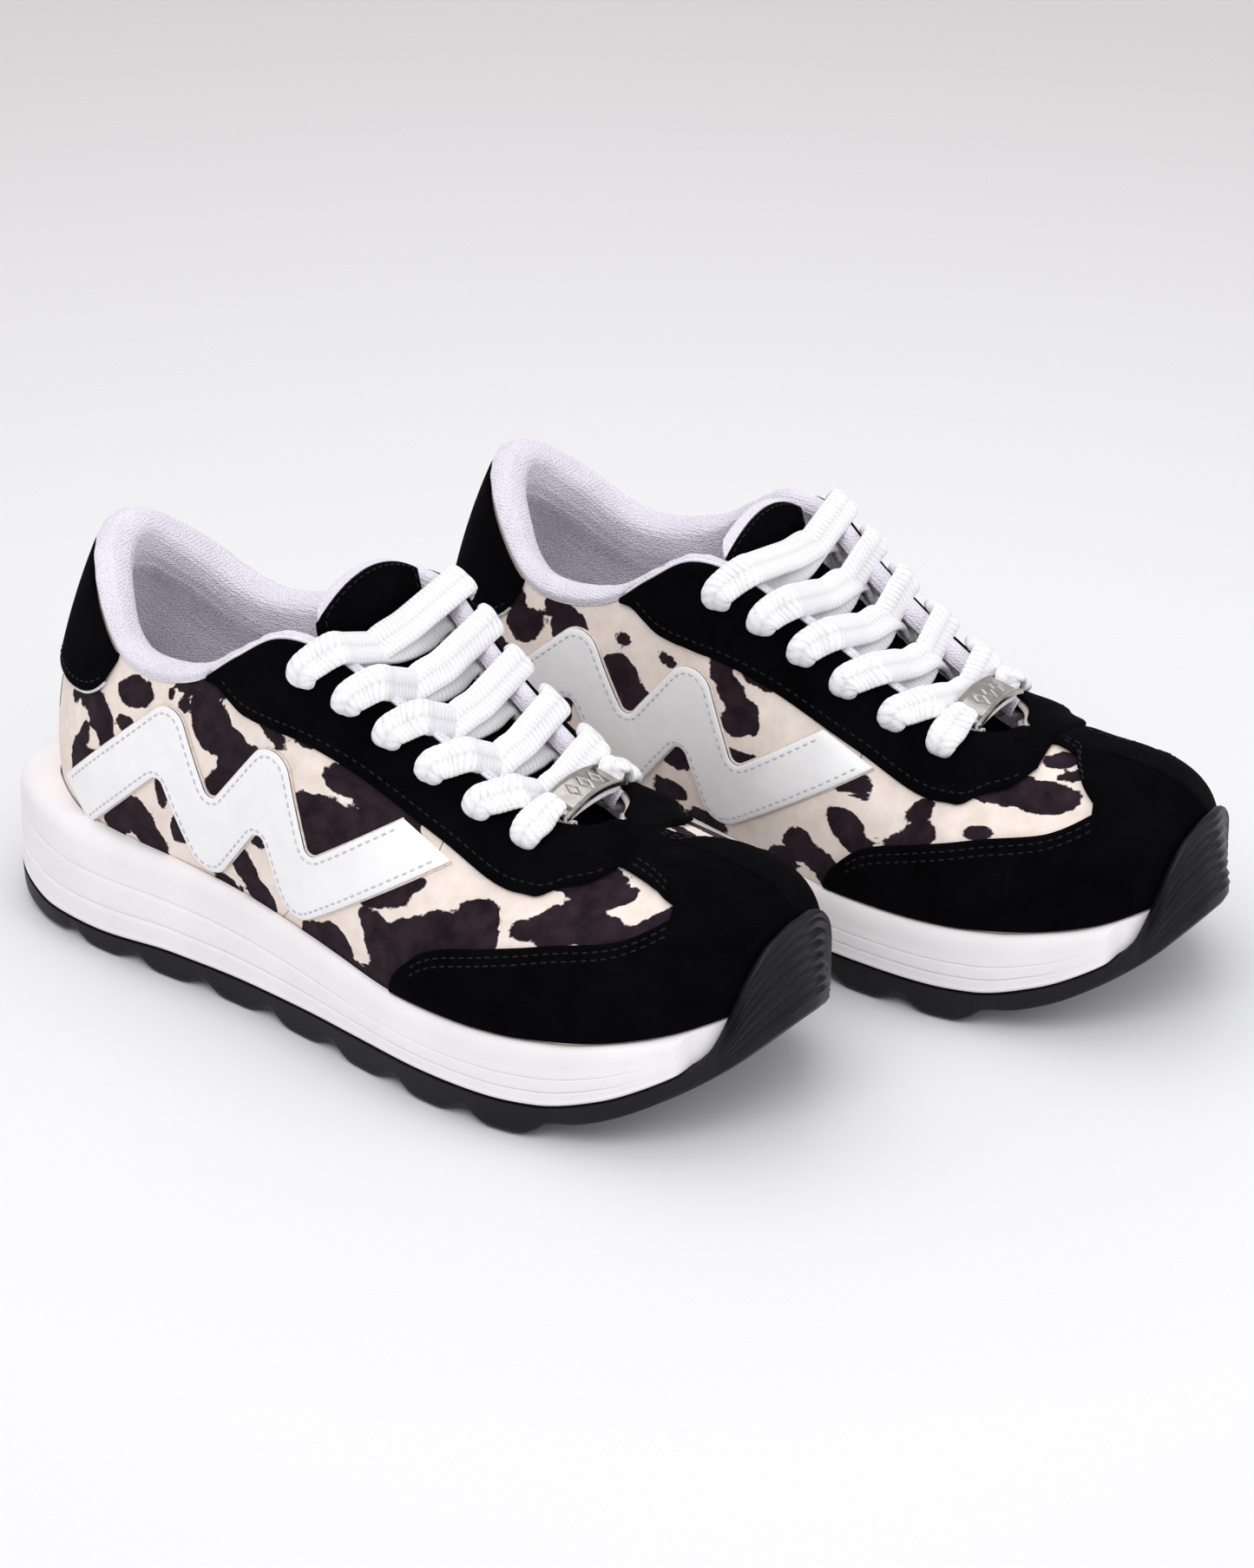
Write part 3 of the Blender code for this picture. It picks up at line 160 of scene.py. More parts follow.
def run_lengths(points):
    """Length along a polyline at each of its points."""
    return np.concatenate([[0], np.cumsum(np.linalg.norm(np.diff(points, axis=0), axis=1))])


def closed_loop(outer, inner, count):
    """A smooth closed loop of count points: along the outer side to the toe, back along the inner."""
    points = np.array(outer + inner[-2:0:-1], float)
    points = np.vstack([points, points[:1]])
    knots = run_lengths(points)
    before = np.vstack([points[-2:-1], points[:-1]])
    after = np.vstack([points[1:], points[1:2]])
    reach = np.linalg.norm(after - points, axis=1) + np.linalg.norm(points - before, axis=1)
    slopes = (after - before) / reach[:, None]
    return hermite(knots, points, np.linspace(0, knots[-1], count), slopes)


def side_edges():
    """Dense (points, outward normals) of the outer (-1) and the inner (+1) side, heel to toe."""
    loop = closed_loop(OUTER_EDGE, INNER_EDGE, OUTLINE_COUNT)
    tangent = np.gradient(np.vstack([loop[-2:-1], loop, loop[1:2]]), axis=0)[1:-1]
    normal = unit(np.column_stack([tangent[:, 1], -tangent[:, 0]]))
    toe = int(np.argmax(loop[:, 0]))
    if np.dot(normal[toe // 2], loop[toe // 2] - np.array([TOE_TIP / 2, 0])) < 0:
        normal = -normal
    normal[[0, -1]] = (-1, 0)
    normal[toe] = (1, 0)
    return {-1: (loop[:toe + 1], normal[:toe + 1]), 1: (loop[toe:][::-1], normal[toe:][::-1])}


EDGES = side_edges()


def edge_points(side, x, inset, z):
    """Points of the sole outline at stations x, moved in by inset and put at height z."""
    points, normals = EDGES[side]
    x, inset, z = np.broadcast_arrays(np.asarray(x, float), inset, z)
    y = np.interp(x, points[:, 0], points[:, 1])
    normal = unit(np.stack([np.interp(x, points[:, 0], normals[:, axis]) for axis in (0, 1)], axis=-1))
    return np.stack([x - normal[..., 0] * inset, y - normal[..., 1] * inset, z], axis=-1)


def centre_y(x):
    return straight(CENTRE_LINE, x)


# ---------------------------------------------------------------- the upper's surface

def row_controls(row, side):
    station, angle, top, low, high = row
    out = np.array([math.cos(math.radians(angle)), side * math.sin(math.radians(angle)), 0])
    up = np.array([0, 0, 1.0])
    foot = edge_points(side, station, along(UPPER_INSET, station), along(RIM, station) - 2.6)
    crown = np.array([top[0], centre_y(top[0]) + side * top[1], top[2]])
    return np.array([foot, foot + out * low[0] + up * low[1], crown + out * high[0] - up * high[1], crown])


LOOP = np.array([row_controls(row, -1) for row in ROWS]
                + [row_controls(row, 1) for row in ROWS][-2:0:-1])
LOOP_SIZE = len(LOOP)


def loop_slopes():
    slopes = (np.roll(LOOP, -1, axis=0) - np.roll(LOOP, 1, axis=0)) / 2
    for row in (THROAT_ROW, -THROAT_ROW):
        slopes[row, 3, 1] = 0
    slopes[POLE_ROW:LOOP_SIZE - POLE_ROW + 1, 3] = 0
    return slopes


LOOP_SLOPES = loop_slopes()


def controls(q):
    """Control points at row positions q: negative on the outer side, positive on the inner."""
    place = (-np.asarray(q, float)) % LOOP_SIZE
    index = place.astype(int) % LOOP_SIZE
    after = (index + 1) % LOOP_SIZE
    u = (place - np.floor(place))[..., None, None]
    return ((2 * u ** 3 - 3 * u ** 2 + 1) * LOOP[index] + (u ** 3 - 2 * u ** 2 + u) * LOOP_SLOPES[index]
            + (3 * u ** 2 - 2 * u ** 3) * LOOP[after] + (u ** 3 - u ** 2) * LOOP_SLOPES[after])


def bezier(points, t):
    t = np.asarray(t, float)[..., None]
    return ((1 - t) ** 3 * points[..., 0, :] + 3 * t * (1 - t) ** 2 * points[..., 1, :]
            + 3 * t ** 2 * (1 - t) * points[..., 2, :] + t ** 3 * points[..., 3, :])


def folded_row(q):
    """Distance of a row position from the heel, the same on both sides."""
    place = np.asarray(q, float) % LOOP_SIZE
    return np.minimum(place, LOOP_SIZE - place)


def ridge_normals(q):
    """Normals on the centre ridge in front of the throat, where both sides meet."""
    row = np.minimum(folded_row(q), POLE_ROW - 0.1)
    run = controls(row + 0.05)[..., 3, :] - controls(row - 0.05)[..., 3, :]
    normal = np.stack([-run[..., 2], 0 * run[..., 0], run[..., 0]], axis=-1)
    return unit(normal)


def surface_normals(q, t):
    q, t = np.broadcast_arrays(np.asarray(q, float), np.asarray(t, float))
    ridge = (folded_row(q) >= THROAT_ROW) & (t > 0.9)
    calm = np.where(ridge, 0.9, t)
    step = 0.02
    across = bezier(controls(q + step), calm) - bezier(controls(q - step), calm)
    points = controls(q)
    rise = bezier(points, np.minimum(calm + step, 1)) - bezier(points, np.maximum(calm - step, 0))
    normal = unit(np.cross(across, rise))
    outward = bezier(points, calm) - np.array([TOE_TIP / 2, 0, 30])
    outward[..., 0] *= 0.2
    normal = np.where((np.sum(normal * outward, axis=-1) > 0)[..., None], normal, -normal)
    share = np.where(ridge, np.clip((t - 0.9) / 0.1, 0, 1), 0)[..., None]
    return unit(normal * (1 - share) + ridge_normals(q) * share)


def surface(q, t, lift=0.0):
    """Points of the upper, lifted off the printed fabric's face."""
    q, t = np.broadcast_arrays(np.asarray(q, float), np.asarray(t, float))
    lift = np.asarray(lift, float)
    return bezier(controls(q), t) + (lift[..., None] if lift.ndim else lift) * surface_normals(q, t)


HEIGHTS = np.linspace(0, 1, 81)


def section_lengths(q):
    """Lengths from the sole up to each of HEIGHTS, for each row position."""
    q = np.atleast_1d(np.asarray(q, float))
    points = bezier(controls(q)[:, None], np.broadcast_to(HEIGHTS, (len(q), len(HEIGHTS))))
    steps = np.linalg.norm(np.diff(points, axis=1), axis=2)
    return np.concatenate([np.zeros((len(q), 1)), np.cumsum(steps, axis=1)], axis=1)


def height_below_top(q, depth):
    lengths = section_lengths(q)[0]
    return float(np.interp(lengths[-1] - depth, lengths, HEIGHTS))


def at_top(q, lift, depth):
    """A point near the top edge: lift outward, depth down (negative above the edge)."""
    if depth >= 0:
        return surface(q, height_below_top(q, depth), lift)
    points = controls(q)
    return surface(q, 1.0, lift) - depth * unit(points[3] - points[2])


# ---------------------------------------------------------------- shoes and mesh helpers

class Shoe:
    """One shoe: its name and how its millimetre frame stands in the world."""

    def __init__(self, name, mirrored):
        self.name = name
        self.body = name + "_shoe"
        self.mirrored = mirrored
        joint = next(j for j in frame["joints"] if j["name"] == name + "_insole_lift")
        side_axis = Vector(joint["axis"])
        turn = math.atan2(-side_axis.x, side_axis.y)
        pivot = Vector((250, -4 if mirrored else 4, 36.5)) * MM
        turned = Matrix.Rotation(turn, 4, "Z") @ pivot
        self.matrix = Matrix.Translation(Vector(joint["pos_m"]) - turned) @ Matrix.Rotation(turn, 4, "Z")
        self.array = np.array(self.matrix)

    def world(self, points):
        points = np.asarray(points, float) * MM
        if self.mirrored:
            points = points * np.array([1, -1, 1])
        return points @ self.array[:3, :3].T + self.array[:3, 3]


def link(name, mesh):
    made = bpy.data.objects.new(name, mesh)
    bpy.context.scene.collection.objects.link(made)
    return made


def smooth(mesh, angle):
    mesh.shade_smooth()
    mesh.set_sharp_from_angle(angle=math.radians(angle))


def make_mesh(name, verts, faces, finish, angle):
    """A mesh object from world points and faces, with its faces turned outward."""
    mesh = bpy.data.meshes.new(name)
    mesh.from_pydata([tuple(v) for v in verts], [], faces)
    work = bmesh.new()
    work.from_mesh(mesh)
    bmesh.ops.recalc_face_normals(work, faces=work.faces)
    work.to_mesh(mesh)
    work.free()
    smooth(mesh, angle)
    mesh.materials.append(finish)
    return link(name, mesh)


def grid_faces(rows, columns, closed_columns=False, start=0):
    """Quads between neighbouring rows of points, closed round each row if asked."""
    faces = []
    for i in range(rows - 1):
        for j in range(columns if closed_columns else columns - 1):
            a, b = start + i * columns, start + (i + 1) * columns
            k = (j + 1) % columns
            faces.append((a + j, b + j, b + k, a + k))
    return faces


def end_caps(rows, columns, start=0):
    """One face over the first row and one over the last row of a closed grid."""
    last = start + (rows - 1) * columns
    return [tuple(range(start, start + columns)), tuple(range(last, last + columns))]


def across_caps(rows, columns):
    """Strips of quads over the first and the last row, from one long side to the other."""
    faces = []
    for start in (0, (rows - 1) * columns):
        for i in range(columns // 2):
            ring = [start + j for j in (i, i + 1, (columns - i - 1) % columns, (columns - i) % columns)]
            faces.append(tuple(dict.fromkeys(ring)))
    return [face for face in faces if len(face) > 2]


def grow(mesh_object, thickness, name):
    """Give a single sheet its thickness, inward from its face, and keep the result."""
    solid = mesh_object.modifiers.new("thick", "SOLIDIFY")
    solid.thickness = thickness * MM
    solid.offset = -1
    solid.use_even_offset = False
    bpy.context.view_layer.update()
    evaluated = mesh_object.evaluated_get(bpy.context.evaluated_depsgraph_get())
    mesh = bpy.data.meshes.new_from_object(evaluated)
    mesh.name = name
    mesh_object.modifiers.clear()
    mesh_object.data = mesh
    smooth(mesh, 50)


def point_out(made, shoe, point, normal):
    """Turn a sheet's faces over when they look inward."""
    here = Vector(shoe.world(point))
    there = Vector(shoe.world(point + normal))
    found = min(made.data.polygons, key=lambda face: (face.center - here).length_squared)
    if found.normal.dot(there - here) < 0:
        made.data.flip_normals()


def resample(points, normals, spacing):
    """Even places along a polyline, with its normals carried along."""
    lengths = run_lengths(points)
    count = max(int(round(lengths[-1] / spacing)), 2)
    at = np.linspace(0, lengths[-1], count + 1)
    return [np.stack([np.interp(at, lengths, array[:, k]) for k in range(3)], axis=1)
            for array in (points, normals)]


STITCH_PITCH = 2.9
STITCH_LENGTH = 2.15
STITCH_RADIUS = 0.3
STITCH_SIDES = 6
STITCH_FLATNESS = 1.15
# Rings along one stitch: (place along it, share of its radius, height off the cloth).
STITCH_SHAPE = [(-0.5, 0.25, -0.34), (-0.36, 0.85, -0.05), (0, 1.0, 0.06), (0.36, 0.85, -0.05),
                (0.5, 0.25, -0.34)]


def stitch_row(shoe, name, places, lift, finish, pitch=STITCH_PITCH, length=STITCH_LENGTH,
               radius=STITCH_RADIUS):
    """A row of separate raised stitches along (q, t) places on the upper."""
    places = np.array(places, float)
    points = surface(places[:, 0], places[:, 1], lift)
    normals = surface_normals(places[:, 0], places[:, 1])
    points, normals = resample(points, normals, pitch)
    made = stitches(shoe, name, points, normals, finish, length, radius)
    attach(made, shoe.body)


def stitches(shoe, name, points, normals, finish, length, radius):
    """One mesh of stitches: one between each two neighbouring points."""
    middles = (points[:-1] + points[1:]) / 2
    runs = unit(np.diff(points, axis=0))
    ups = unit((normals[:-1] + normals[1:]) / 2)
    sides = unit(np.cross(runs, ups))
    rings = len(STITCH_SHAPE)
    verts, faces = [], []
    for middle, run, up, side in zip(middles, runs, ups, sides):
        start = len(verts)
        for reach, fat, sink in STITCH_SHAPE:
            for k in range(STITCH_SIDES):
                angle = 2 * math.pi * k / STITCH_SIDES
                verts.append(middle + run * reach * length + up * (sink + fat * radius * math.sin(angle))
                             + side * fat * radius * STITCH_FLATNESS * math.cos(angle))
        faces += grid_faces(rings, STITCH_SIDES, closed_columns=True, start=start)
        faces += end_caps(rings, STITCH_SIDES, start)
    return make_mesh(f"{shoe.name}_{name}", shoe.world(np.array(verts)), faces, finish, angle=80)


def tube(shoe, name, points, radius, finish, sides=10, level=(0, 0, 1.0), end_share=1.0):
    """A round cord along points, in shoe millimetres, never along level; its ends may taper in."""
    runs = unit(np.gradient(points, axis=0))
    side = unit(np.cross(runs, np.array(level)))
    up = np.cross(side, runs)
    taper = np.ones(len(points))
    taper[[0, -1]] = end_share
    angles = np.linspace(0, 2 * math.pi, sides, endpoint=False)
    rings = points[:, None] + radius * taper[:, None, None] * (
        np.cos(angles)[None, :, None] * side[:, None] + np.sin(angles)[None, :, None] * up[:, None])
    faces = grid_faces(len(points), sides, closed_columns=True) + end_caps(len(points), sides)
    made = make_mesh(f"{shoe.name}_{name}", shoe.world(rings.reshape(-1, 3)), faces, finish, angle=60)
    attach(made, shoe.body)
    return made


def stand_in(shoe, node):
    """Hide the CAD node whose place a built piece takes."""
    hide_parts(f"{shoe.name}_{node}")


# ---------------------------------------------------------------- materials

SHEEN_ROUGHNESS = 0.4


def add(tree, kind, inputs=None, **settings):
    """A shader node with its settings, its values and its links."""
    node = tree.nodes.new(kind)
    for key, value in settings.items():
        setattr(node, key, value)
    for key, value in (inputs or {}).items():
        if isinstance(value, bpy.types.NodeSocket):
            tree.links.new(value, node.inputs[key])
        else:
            node.inputs[key].default_value = value
    return node


def plain(name, roughness, metallic=0.0, specular=0.5, sheen=0.0):
    """A material, its node tree and its shader, with the values that are the same all over."""
    made = bpy.data.materials.new(name)
    made.use_nodes = True
    shader = made.node_tree.nodes["Principled BSDF"]
    shader.inputs["Roughness"].default_value = roughness
    shader.inputs["Metallic"].default_value = metallic
    shader.inputs["Specular IOR Level"].default_value = specular
    shader.inputs["Sheen Weight"].default_value = sheen
    shader.inputs["Sheen Roughness"].default_value = SHEEN_ROUGHNESS
    return made, made.node_tree, shader


def noise(tree, scale, detail=3.0, rough=0.55, distortion=0.0):
    coords = add(tree, "ShaderNodeTexCoord").outputs["Object"]
    inputs = {"Vector": coords, "Scale": scale, "Detail": detail, "Roughness": rough,
              "Distortion": distortion}
    return add(tree, "ShaderNodeTexNoise", inputs).outputs["Fac"]


def cells(tree, scale, feature="F1", randomness=1.0):
    """Distance to the nearest point of a cell pattern."""
    coords = add(tree, "ShaderNodeTexCoord").outputs["Object"]
    inputs = {"Vector": coords, "Scale": scale, "Randomness": randomness}
    return add(tree, "ShaderNodeTexVoronoi", inputs, feature=feature).outputs["Distance"]


def added(tree, first, second):
    return add(tree, "ShaderNodeMath", {0: first, 1: second}, operation="ADD").outputs[0]


def ramp(tree, factor, stops):
    """A colour ramp: stops are (position, colour)."""
    node = add(tree, "ShaderNodeValToRGB", {"Fac": factor})
    elements = node.color_ramp.elements
    while len(elements) < len(stops):
        elements.new(0.5)
    for element, (position, colour) in zip(elements, stops):
        element.position = position
        element.color = (*colour, 1)
    return node.outputs["Color"]


def paint(tree, shader, factor, stops):
    tree.links.new(ramp(tree, factor, stops), shader.inputs["Base Color"])


def bump(tree, shader, heights):
    """Chain bumps: heights are (socket, strength, distance in metres)."""
    normal = None
    for height, strength, distance in heights:
        inputs = {"Height": height, "Strength": strength, "Distance": distance}
        if normal:
            inputs["Normal"] = normal
        normal = add(tree, "ShaderNodeBump", inputs).outputs["Normal"]
    tree.links.new(normal, shader.inputs["Normal"])


def ranged(tree, factor, low, high, start=0.0, end=1.0):
    """A factor that runs from start to end, turned into one from low to high."""
    return add(tree, "ShaderNodeMapRange", {"Value": factor, "From Min": start, "From Max": end,
                                            "To Min": low, "To Max": high}).outputs["Result"]


def roughen(tree, shader, factor, low, high):
    tree.links.new(ranged(tree, factor, low, high), shader.inputs["Roughness"])


def black_suede():
    made, tree, shader = plain("black_suede", 0.95, specular=0.03)
    nap = noise(tree, 2600, 2)
    brushed = noise(tree, 55, 5, 0.65, 0.6)
    paint(tree, shader, brushed, [(0.3, (0.0007, 0.0007, 0.0010)), (0.75, (0.0030, 0.0028, 0.0036))])
    roughen(tree, shader, brushed, 0.88, 1.0)
    bump(tree, shader, [(nap, 0.35, 0.0002), (brushed, 0.25, 0.0006)])
    return made


def thread(name, roughness, specular, dark, light):
    made, tree, shader = plain(name, roughness, specular=specular)
    paint(tree, shader, noise(tree, 900), [(0.3, dark), (0.7, light)])
    return made


def printed_suede():
    """Cream micro-suede with a dark cow print; the print's outlines are held on the mesh."""
    made, tree, shader = plain("printed_suede", 0.95, specular=0.08, sheen=0.05)
    spot = add(tree, "ShaderNodeAttribute", attribute_name="print_distance").outputs["Fac"]
    ragged = noise(tree, 330, 4, 0.6, 0.7)
    broad = noise(tree, 95, 3, 0.5, 0.5)
    wobble = added(tree, ranged(tree, ragged, -0.9, 0.9), ranged(tree, broad, -2.3, 2.3))
    edge = added(tree, spot, wobble)
    inside = ranged(tree, edge, 1.0, 0.0, -0.18, 0.18)
    nap = noise(tree, 2400, 2)
    cloud = noise(tree, 160, 4, 0.6)
    cream = ramp(tree, cloud, [(0.3, (0.77, 0.665, 0.59)), (0.7, (0.90, 0.80, 0.735))])
    dark = ramp(tree, cloud, [(0.3, (0.012, 0.0065, 0.010)), (0.72, (0.034, 0.021, 0.029))])
    blend = add(tree, "ShaderNodeMix", {"Factor": inside}, data_type="RGBA")
    ends = {socket.name: socket for socket in blend.inputs if socket.type == "RGBA"}
    tree.links.new(cream, ends["A"])
    tree.links.new(dark, ends["B"])
    colour = next(socket for socket in blend.outputs if socket.type == "RGBA")
    tree.links.new(colour, shader.inputs["Base Color"])
    bump(tree, shader, [(nap, 0.3, 0.0002), (cloud, 0.2, 0.0004)])
    return made


def white_leather():
    made, tree, shader = plain("white_leather", 0.42, specular=0.45)
    grain = cells(tree, 1500, "SMOOTH_F1")
    crease = noise(tree, 70, 4, 0.6, 0.8)
    paint(tree, shader, crease, [(0.25, (0.85, 0.84, 0.84)), (0.7, (0.92, 0.915, 0.915))])
    roughen(tree, shader, crease, 0.36, 0.52)
    bump(tree, shader, [(grain, 0.12, 0.00015), (crease, 0.12, 0.0005)])
    return made


def knit(name, dark, light, pitch=1250):
    """A fine terry knit: rows of small loops, with painted shade between the loops."""
    made, tree, shader = plain(name, 1.0, specular=0.1, sheen=0.35)
    loops = cells(tree, pitch, randomness=0.45)
    cloud = noise(tree, 90, 4)
    # Painted shade: darker at the rim of each loop, where the bump sinks between loops, plus a random cloudy
    # tone.
    loop_shade_and_tone = added(tree, ranged(tree, loops, 0.62, 0.0, 0.0, 0.9), ranged(tree, cloud, 0.0, 0.5))
    paint(tree, shader, loop_shade_and_tone, [(0.15, dark), (0.75, light)])
    bump(tree, shader, [(ranged(tree, loops, 1.0, 0.0, 0.0, 0.8), 0.75, 0.0006), (cloud, 0.3, 0.0008)])
    return made


def braid():
    made, tree, shader = plain("cotton_braid", 0.95, specular=0.15, sheen=0.3)
    fibre = cells(tree, 1300)
    weave_and_groove_shade = add(tree, "ShaderNodeAttribute", attribute_name="weave_and_groove_shade").outputs["Fac"]
    # Painted shade: the lace is darkest in the grooves between the braid's strands and lightest on their
    # raised tops.
    paint(tree, shader, weave_and_groove_shade, [(0.0, (0.56, 0.56, 0.60)), (0.4, (0.80, 0.80, 0.82)),
                                (1.0, (0.91, 0.91, 0.92))])
    bump(tree, shader, [(fibre, 0.35, 0.0003)])
    return made


def midsole_foam():
    made, tree, shader = plain("midsole_foam", 0.6, specular=0.3)
    pebble = cells(tree, 900, "SMOOTH_F1")
    cloud = noise(tree, 40, 4)
    paint(tree, shader, cloud, [(0.3, (0.835, 0.79, 0.80)), (0.7, (0.895, 0.86, 0.865))])
    roughen(tree, shader, cloud, 0.5, 0.66)
    bump(tree, shader, [(pebble, 0.22, 0.0002), (cloud, 0.08, 0.0006)])
    return made


def tread_rubber():
    made, tree, shader = plain("tread_rubber", 0.44, specular=0.22)
    grain = cells(tree, 1600)
    cloud = noise(tree, 60, 5, 0.6)
    paint(tree, shader, cloud, [(0.3, (0.0032, 0.0033, 0.0042)), (0.75, (0.0070, 0.0073, 0.0090))])
    roughen(tree, shader, cloud, 0.36, 0.55)
    bump(tree, shader, [(grain, 0.15, 0.00015)])
    return made


def nickel():
    made, tree, shader = plain("polished_nickel", 0.16, metallic=1.0)
    cloud = noise(tree, 300, 4, 0.6, 0.4)
    paint(tree, shader, cloud, [(0.3, (0.34, 0.32, 0.30)), (0.7, (0.50, 0.47, 0.44))])
    roughen(tree, shader, cloud, 0.1, 0.24)
    bump(tree, shader, [(cloud, 0.03, 0.0002)])
    return made


def simple_finish(name, dark, light, roughness, scale=200):
    """A quiet mottled finish, for hidden parts, piping, cut edges and lace tips."""
    made, tree, shader = plain(name, roughness)
    cloud = noise(tree, scale, 4)
    paint(tree, shader, cloud, [(0.3, dark), (0.7, light)])
    bump(tree, shader, [(cloud, 0.2, 0.0003)])
    return made


SUEDE = black_suede()
THREAD = thread("black_thread", 0.65, 0.2, (0.004, 0.004, 0.005), (0.011, 0.011, 0.013))
PRINT = printed_suede()
LEATHER = white_leather()
BAND_THREAD = thread("grey_thread", 0.7, 0.5, (0.46, 0.44, 0.53), (0.64, 0.62, 0.71))
TERRY = knit("white_terry", (0.64, 0.61, 0.70), (0.88, 0.855, 0.93))
INSOLE_TERRY = knit("insole_terry", (0.52, 0.46, 0.50), (0.80, 0.73, 0.74), 1000)
BRAID = braid()
FOAM = midsole_foam()
RUBBER = tread_rubber()
NICKEL = nickel()
RAW_EDGE = simple_finish("raw_suede_edge", (0.62, 0.53, 0.47), (0.84, 0.76, 0.70), 0.9, 900)
SILVER_EDGE = simple_finish("silver_edge", (0.55, 0.54, 0.55), (0.80, 0.79, 0.80), 0.35, 500)
PIPING = simple_finish("white_piping", (0.74, 0.72, 0.79), (0.88, 0.87, 0.92), 0.8, 900)
AGLET = simple_finish("aglet_plastic", (0.70, 0.71, 0.73), (0.82, 0.83, 0.85), 0.25, 120)
HIDDEN = {
    "insole_board": simple_finish("lasting_board", (0.32, 0.26, 0.19), (0.47, 0.40, 0.30), 0.9),
    "heel_counter": simple_finish("counter_sheet", (0.58, 0.55, 0.44), (0.72, 0.69, 0.57), 0.8),
    "toe_puff": simple_finish("puff_sheet", (0.58, 0.55, 0.44), (0.72, 0.69, 0.57), 0.8),
    "collar_foam": simple_finish("padding_foam", (0.74, 0.72, 0.64), (0.85, 0.83, 0.76), 0.95, 900),
}


# ---------------------------------------------------------------- sheets on the upper

EDGE_NEAR = 0.4 * 0.9
EDGE_FAR = 1.1 * 0.9
NEXT_SINK = 0.35
WELD = 3e-5
SLIVER = 1e-5


def heights_below_top(q, depth):
    """t of places below the top edge: q has one value per row, depth one row per q."""
    lengths = section_lengths(q)
    return np.array([np.interp(row[-1] - d, row, HEIGHTS) for row, d in zip(lengths, depth)])


def heights_above_sole(q, rise):
    lengths = section_lengths(q)
    return np.array([np.interp(d, row, HEIGHTS) for row, d in zip(lengths, rise)])


def below_top(q, depth):
    """(q, t) places, each at its own depth below the top edge."""
    return np.column_stack([q, heights_below_top(q, depth[:, None])[:, 0]])


def above_sole(q, rise):
    """(q, t) places, each at its own height above the sole."""
    return np.column_stack([q, heights_above_sole(q, rise[:, None])[:, 0]])


def grid_at(q, t):
    """A (q, t) grid from one row position for each row of heights t."""
    return np.broadcast_to(q[:, None], t.shape), t


def shares(length, pitch):
    """Places from 0 to 1 about a pitch apart, with closer lines at both ends for a rounded edge."""
    near, far = min(EDGE_NEAR / length, 0.06), min(EDGE_FAR / length, 0.14)
    count = max(int(length / pitch), 3)
    return np.concatenate([[0, near], np.linspace(far, 1 - far, count), [1 - near, 1]])


def round_off(work, depth):
    """Sink a sheet's border and the line next to it, so that its edge is rounded."""
    border = {vert for edge in work.edges if edge.is_boundary for vert in edge.verts}
    near = {other for vert in border for edge in vert.link_edges
            for other in [edge.other_vert(vert)] if other not in border}
    moves = [(vert, 1.0) for vert in border] + [(vert, NEXT_SINK) for vert in near]
    normals = {vert: vert.normal.copy() for vert, share in moves}
    for vert, share in moves:
        vert.co -= normals[vert] * depth * share * MM


def face_outward(work, here, there):
    """Turn a sheet's faces over when the one nearest to here doesn't look towards there."""
    work.faces.ensure_lookup_table()
    found = min(work.faces, key=lambda face: (face.calc_center_median() - here).length_squared)
    if found.normal.dot(there - here) < 0:
        bmesh.ops.reverse_faces(work, faces=work.faces)
    work.normal_update()


def cover(shoe, name, grids, lift, thickness, finish, rounding, replaced, printed=False):
    """Sheet material on the upper, over grids of (q, t) places that join where they meet."""
    verts, faces, distances = [], [], []
    for q, t in grids:
        points = surface(q, t, lift)
        faces += grid_faces(*q.shape, start=len(verts))
        verts += list(shoe.world(points.reshape(-1, 3)))
        if printed:
            distances.append(print_distance(shoe, q, t).ravel())
    mesh = bpy.data.meshes.new(f"{shoe.name}_{name}")
    mesh.from_pydata([tuple(v) for v in verts], [], faces)
    if printed:
        attribute = mesh.attributes.new("print_distance", "FLOAT", "POINT")
        attribute.data.foreach_set("value", np.concatenate(distances).astype(np.float32))
    work = bmesh.new()
    work.from_mesh(mesh)
    bmesh.ops.remove_doubles(work, verts=work.verts, dist=WELD)
    bmesh.ops.dissolve_degenerate(work, edges=work.edges, dist=SLIVER)
    bmesh.ops.recalc_face_normals(work, faces=work.faces)
    q, t = (array[array.shape[0] // 2, array.shape[1] // 2] for array in grids[0])
    face_outward(work, Vector(shoe.world(surface(q, t, lift))), Vector(shoe.world(surface(q, t, lift + 1))))
    if rounding:
        round_off(work, rounding)
    work.to_mesh(mesh)
    work.free()
    mesh.materials.append(finish)
    made = link(mesh.name, mesh)
    grow(made, thickness, mesh.name)
    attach(made, shoe.body)
    stand_in(shoe, replaced)


SEAM_FOOT = 7.1
SEAM_SLOPE = 4.9
SEAM_TOP = 10.1


def seam(t):
    return np.minimum(SEAM_FOOT + SEAM_SLOPE * np.asarray(t), SEAM_TOP)


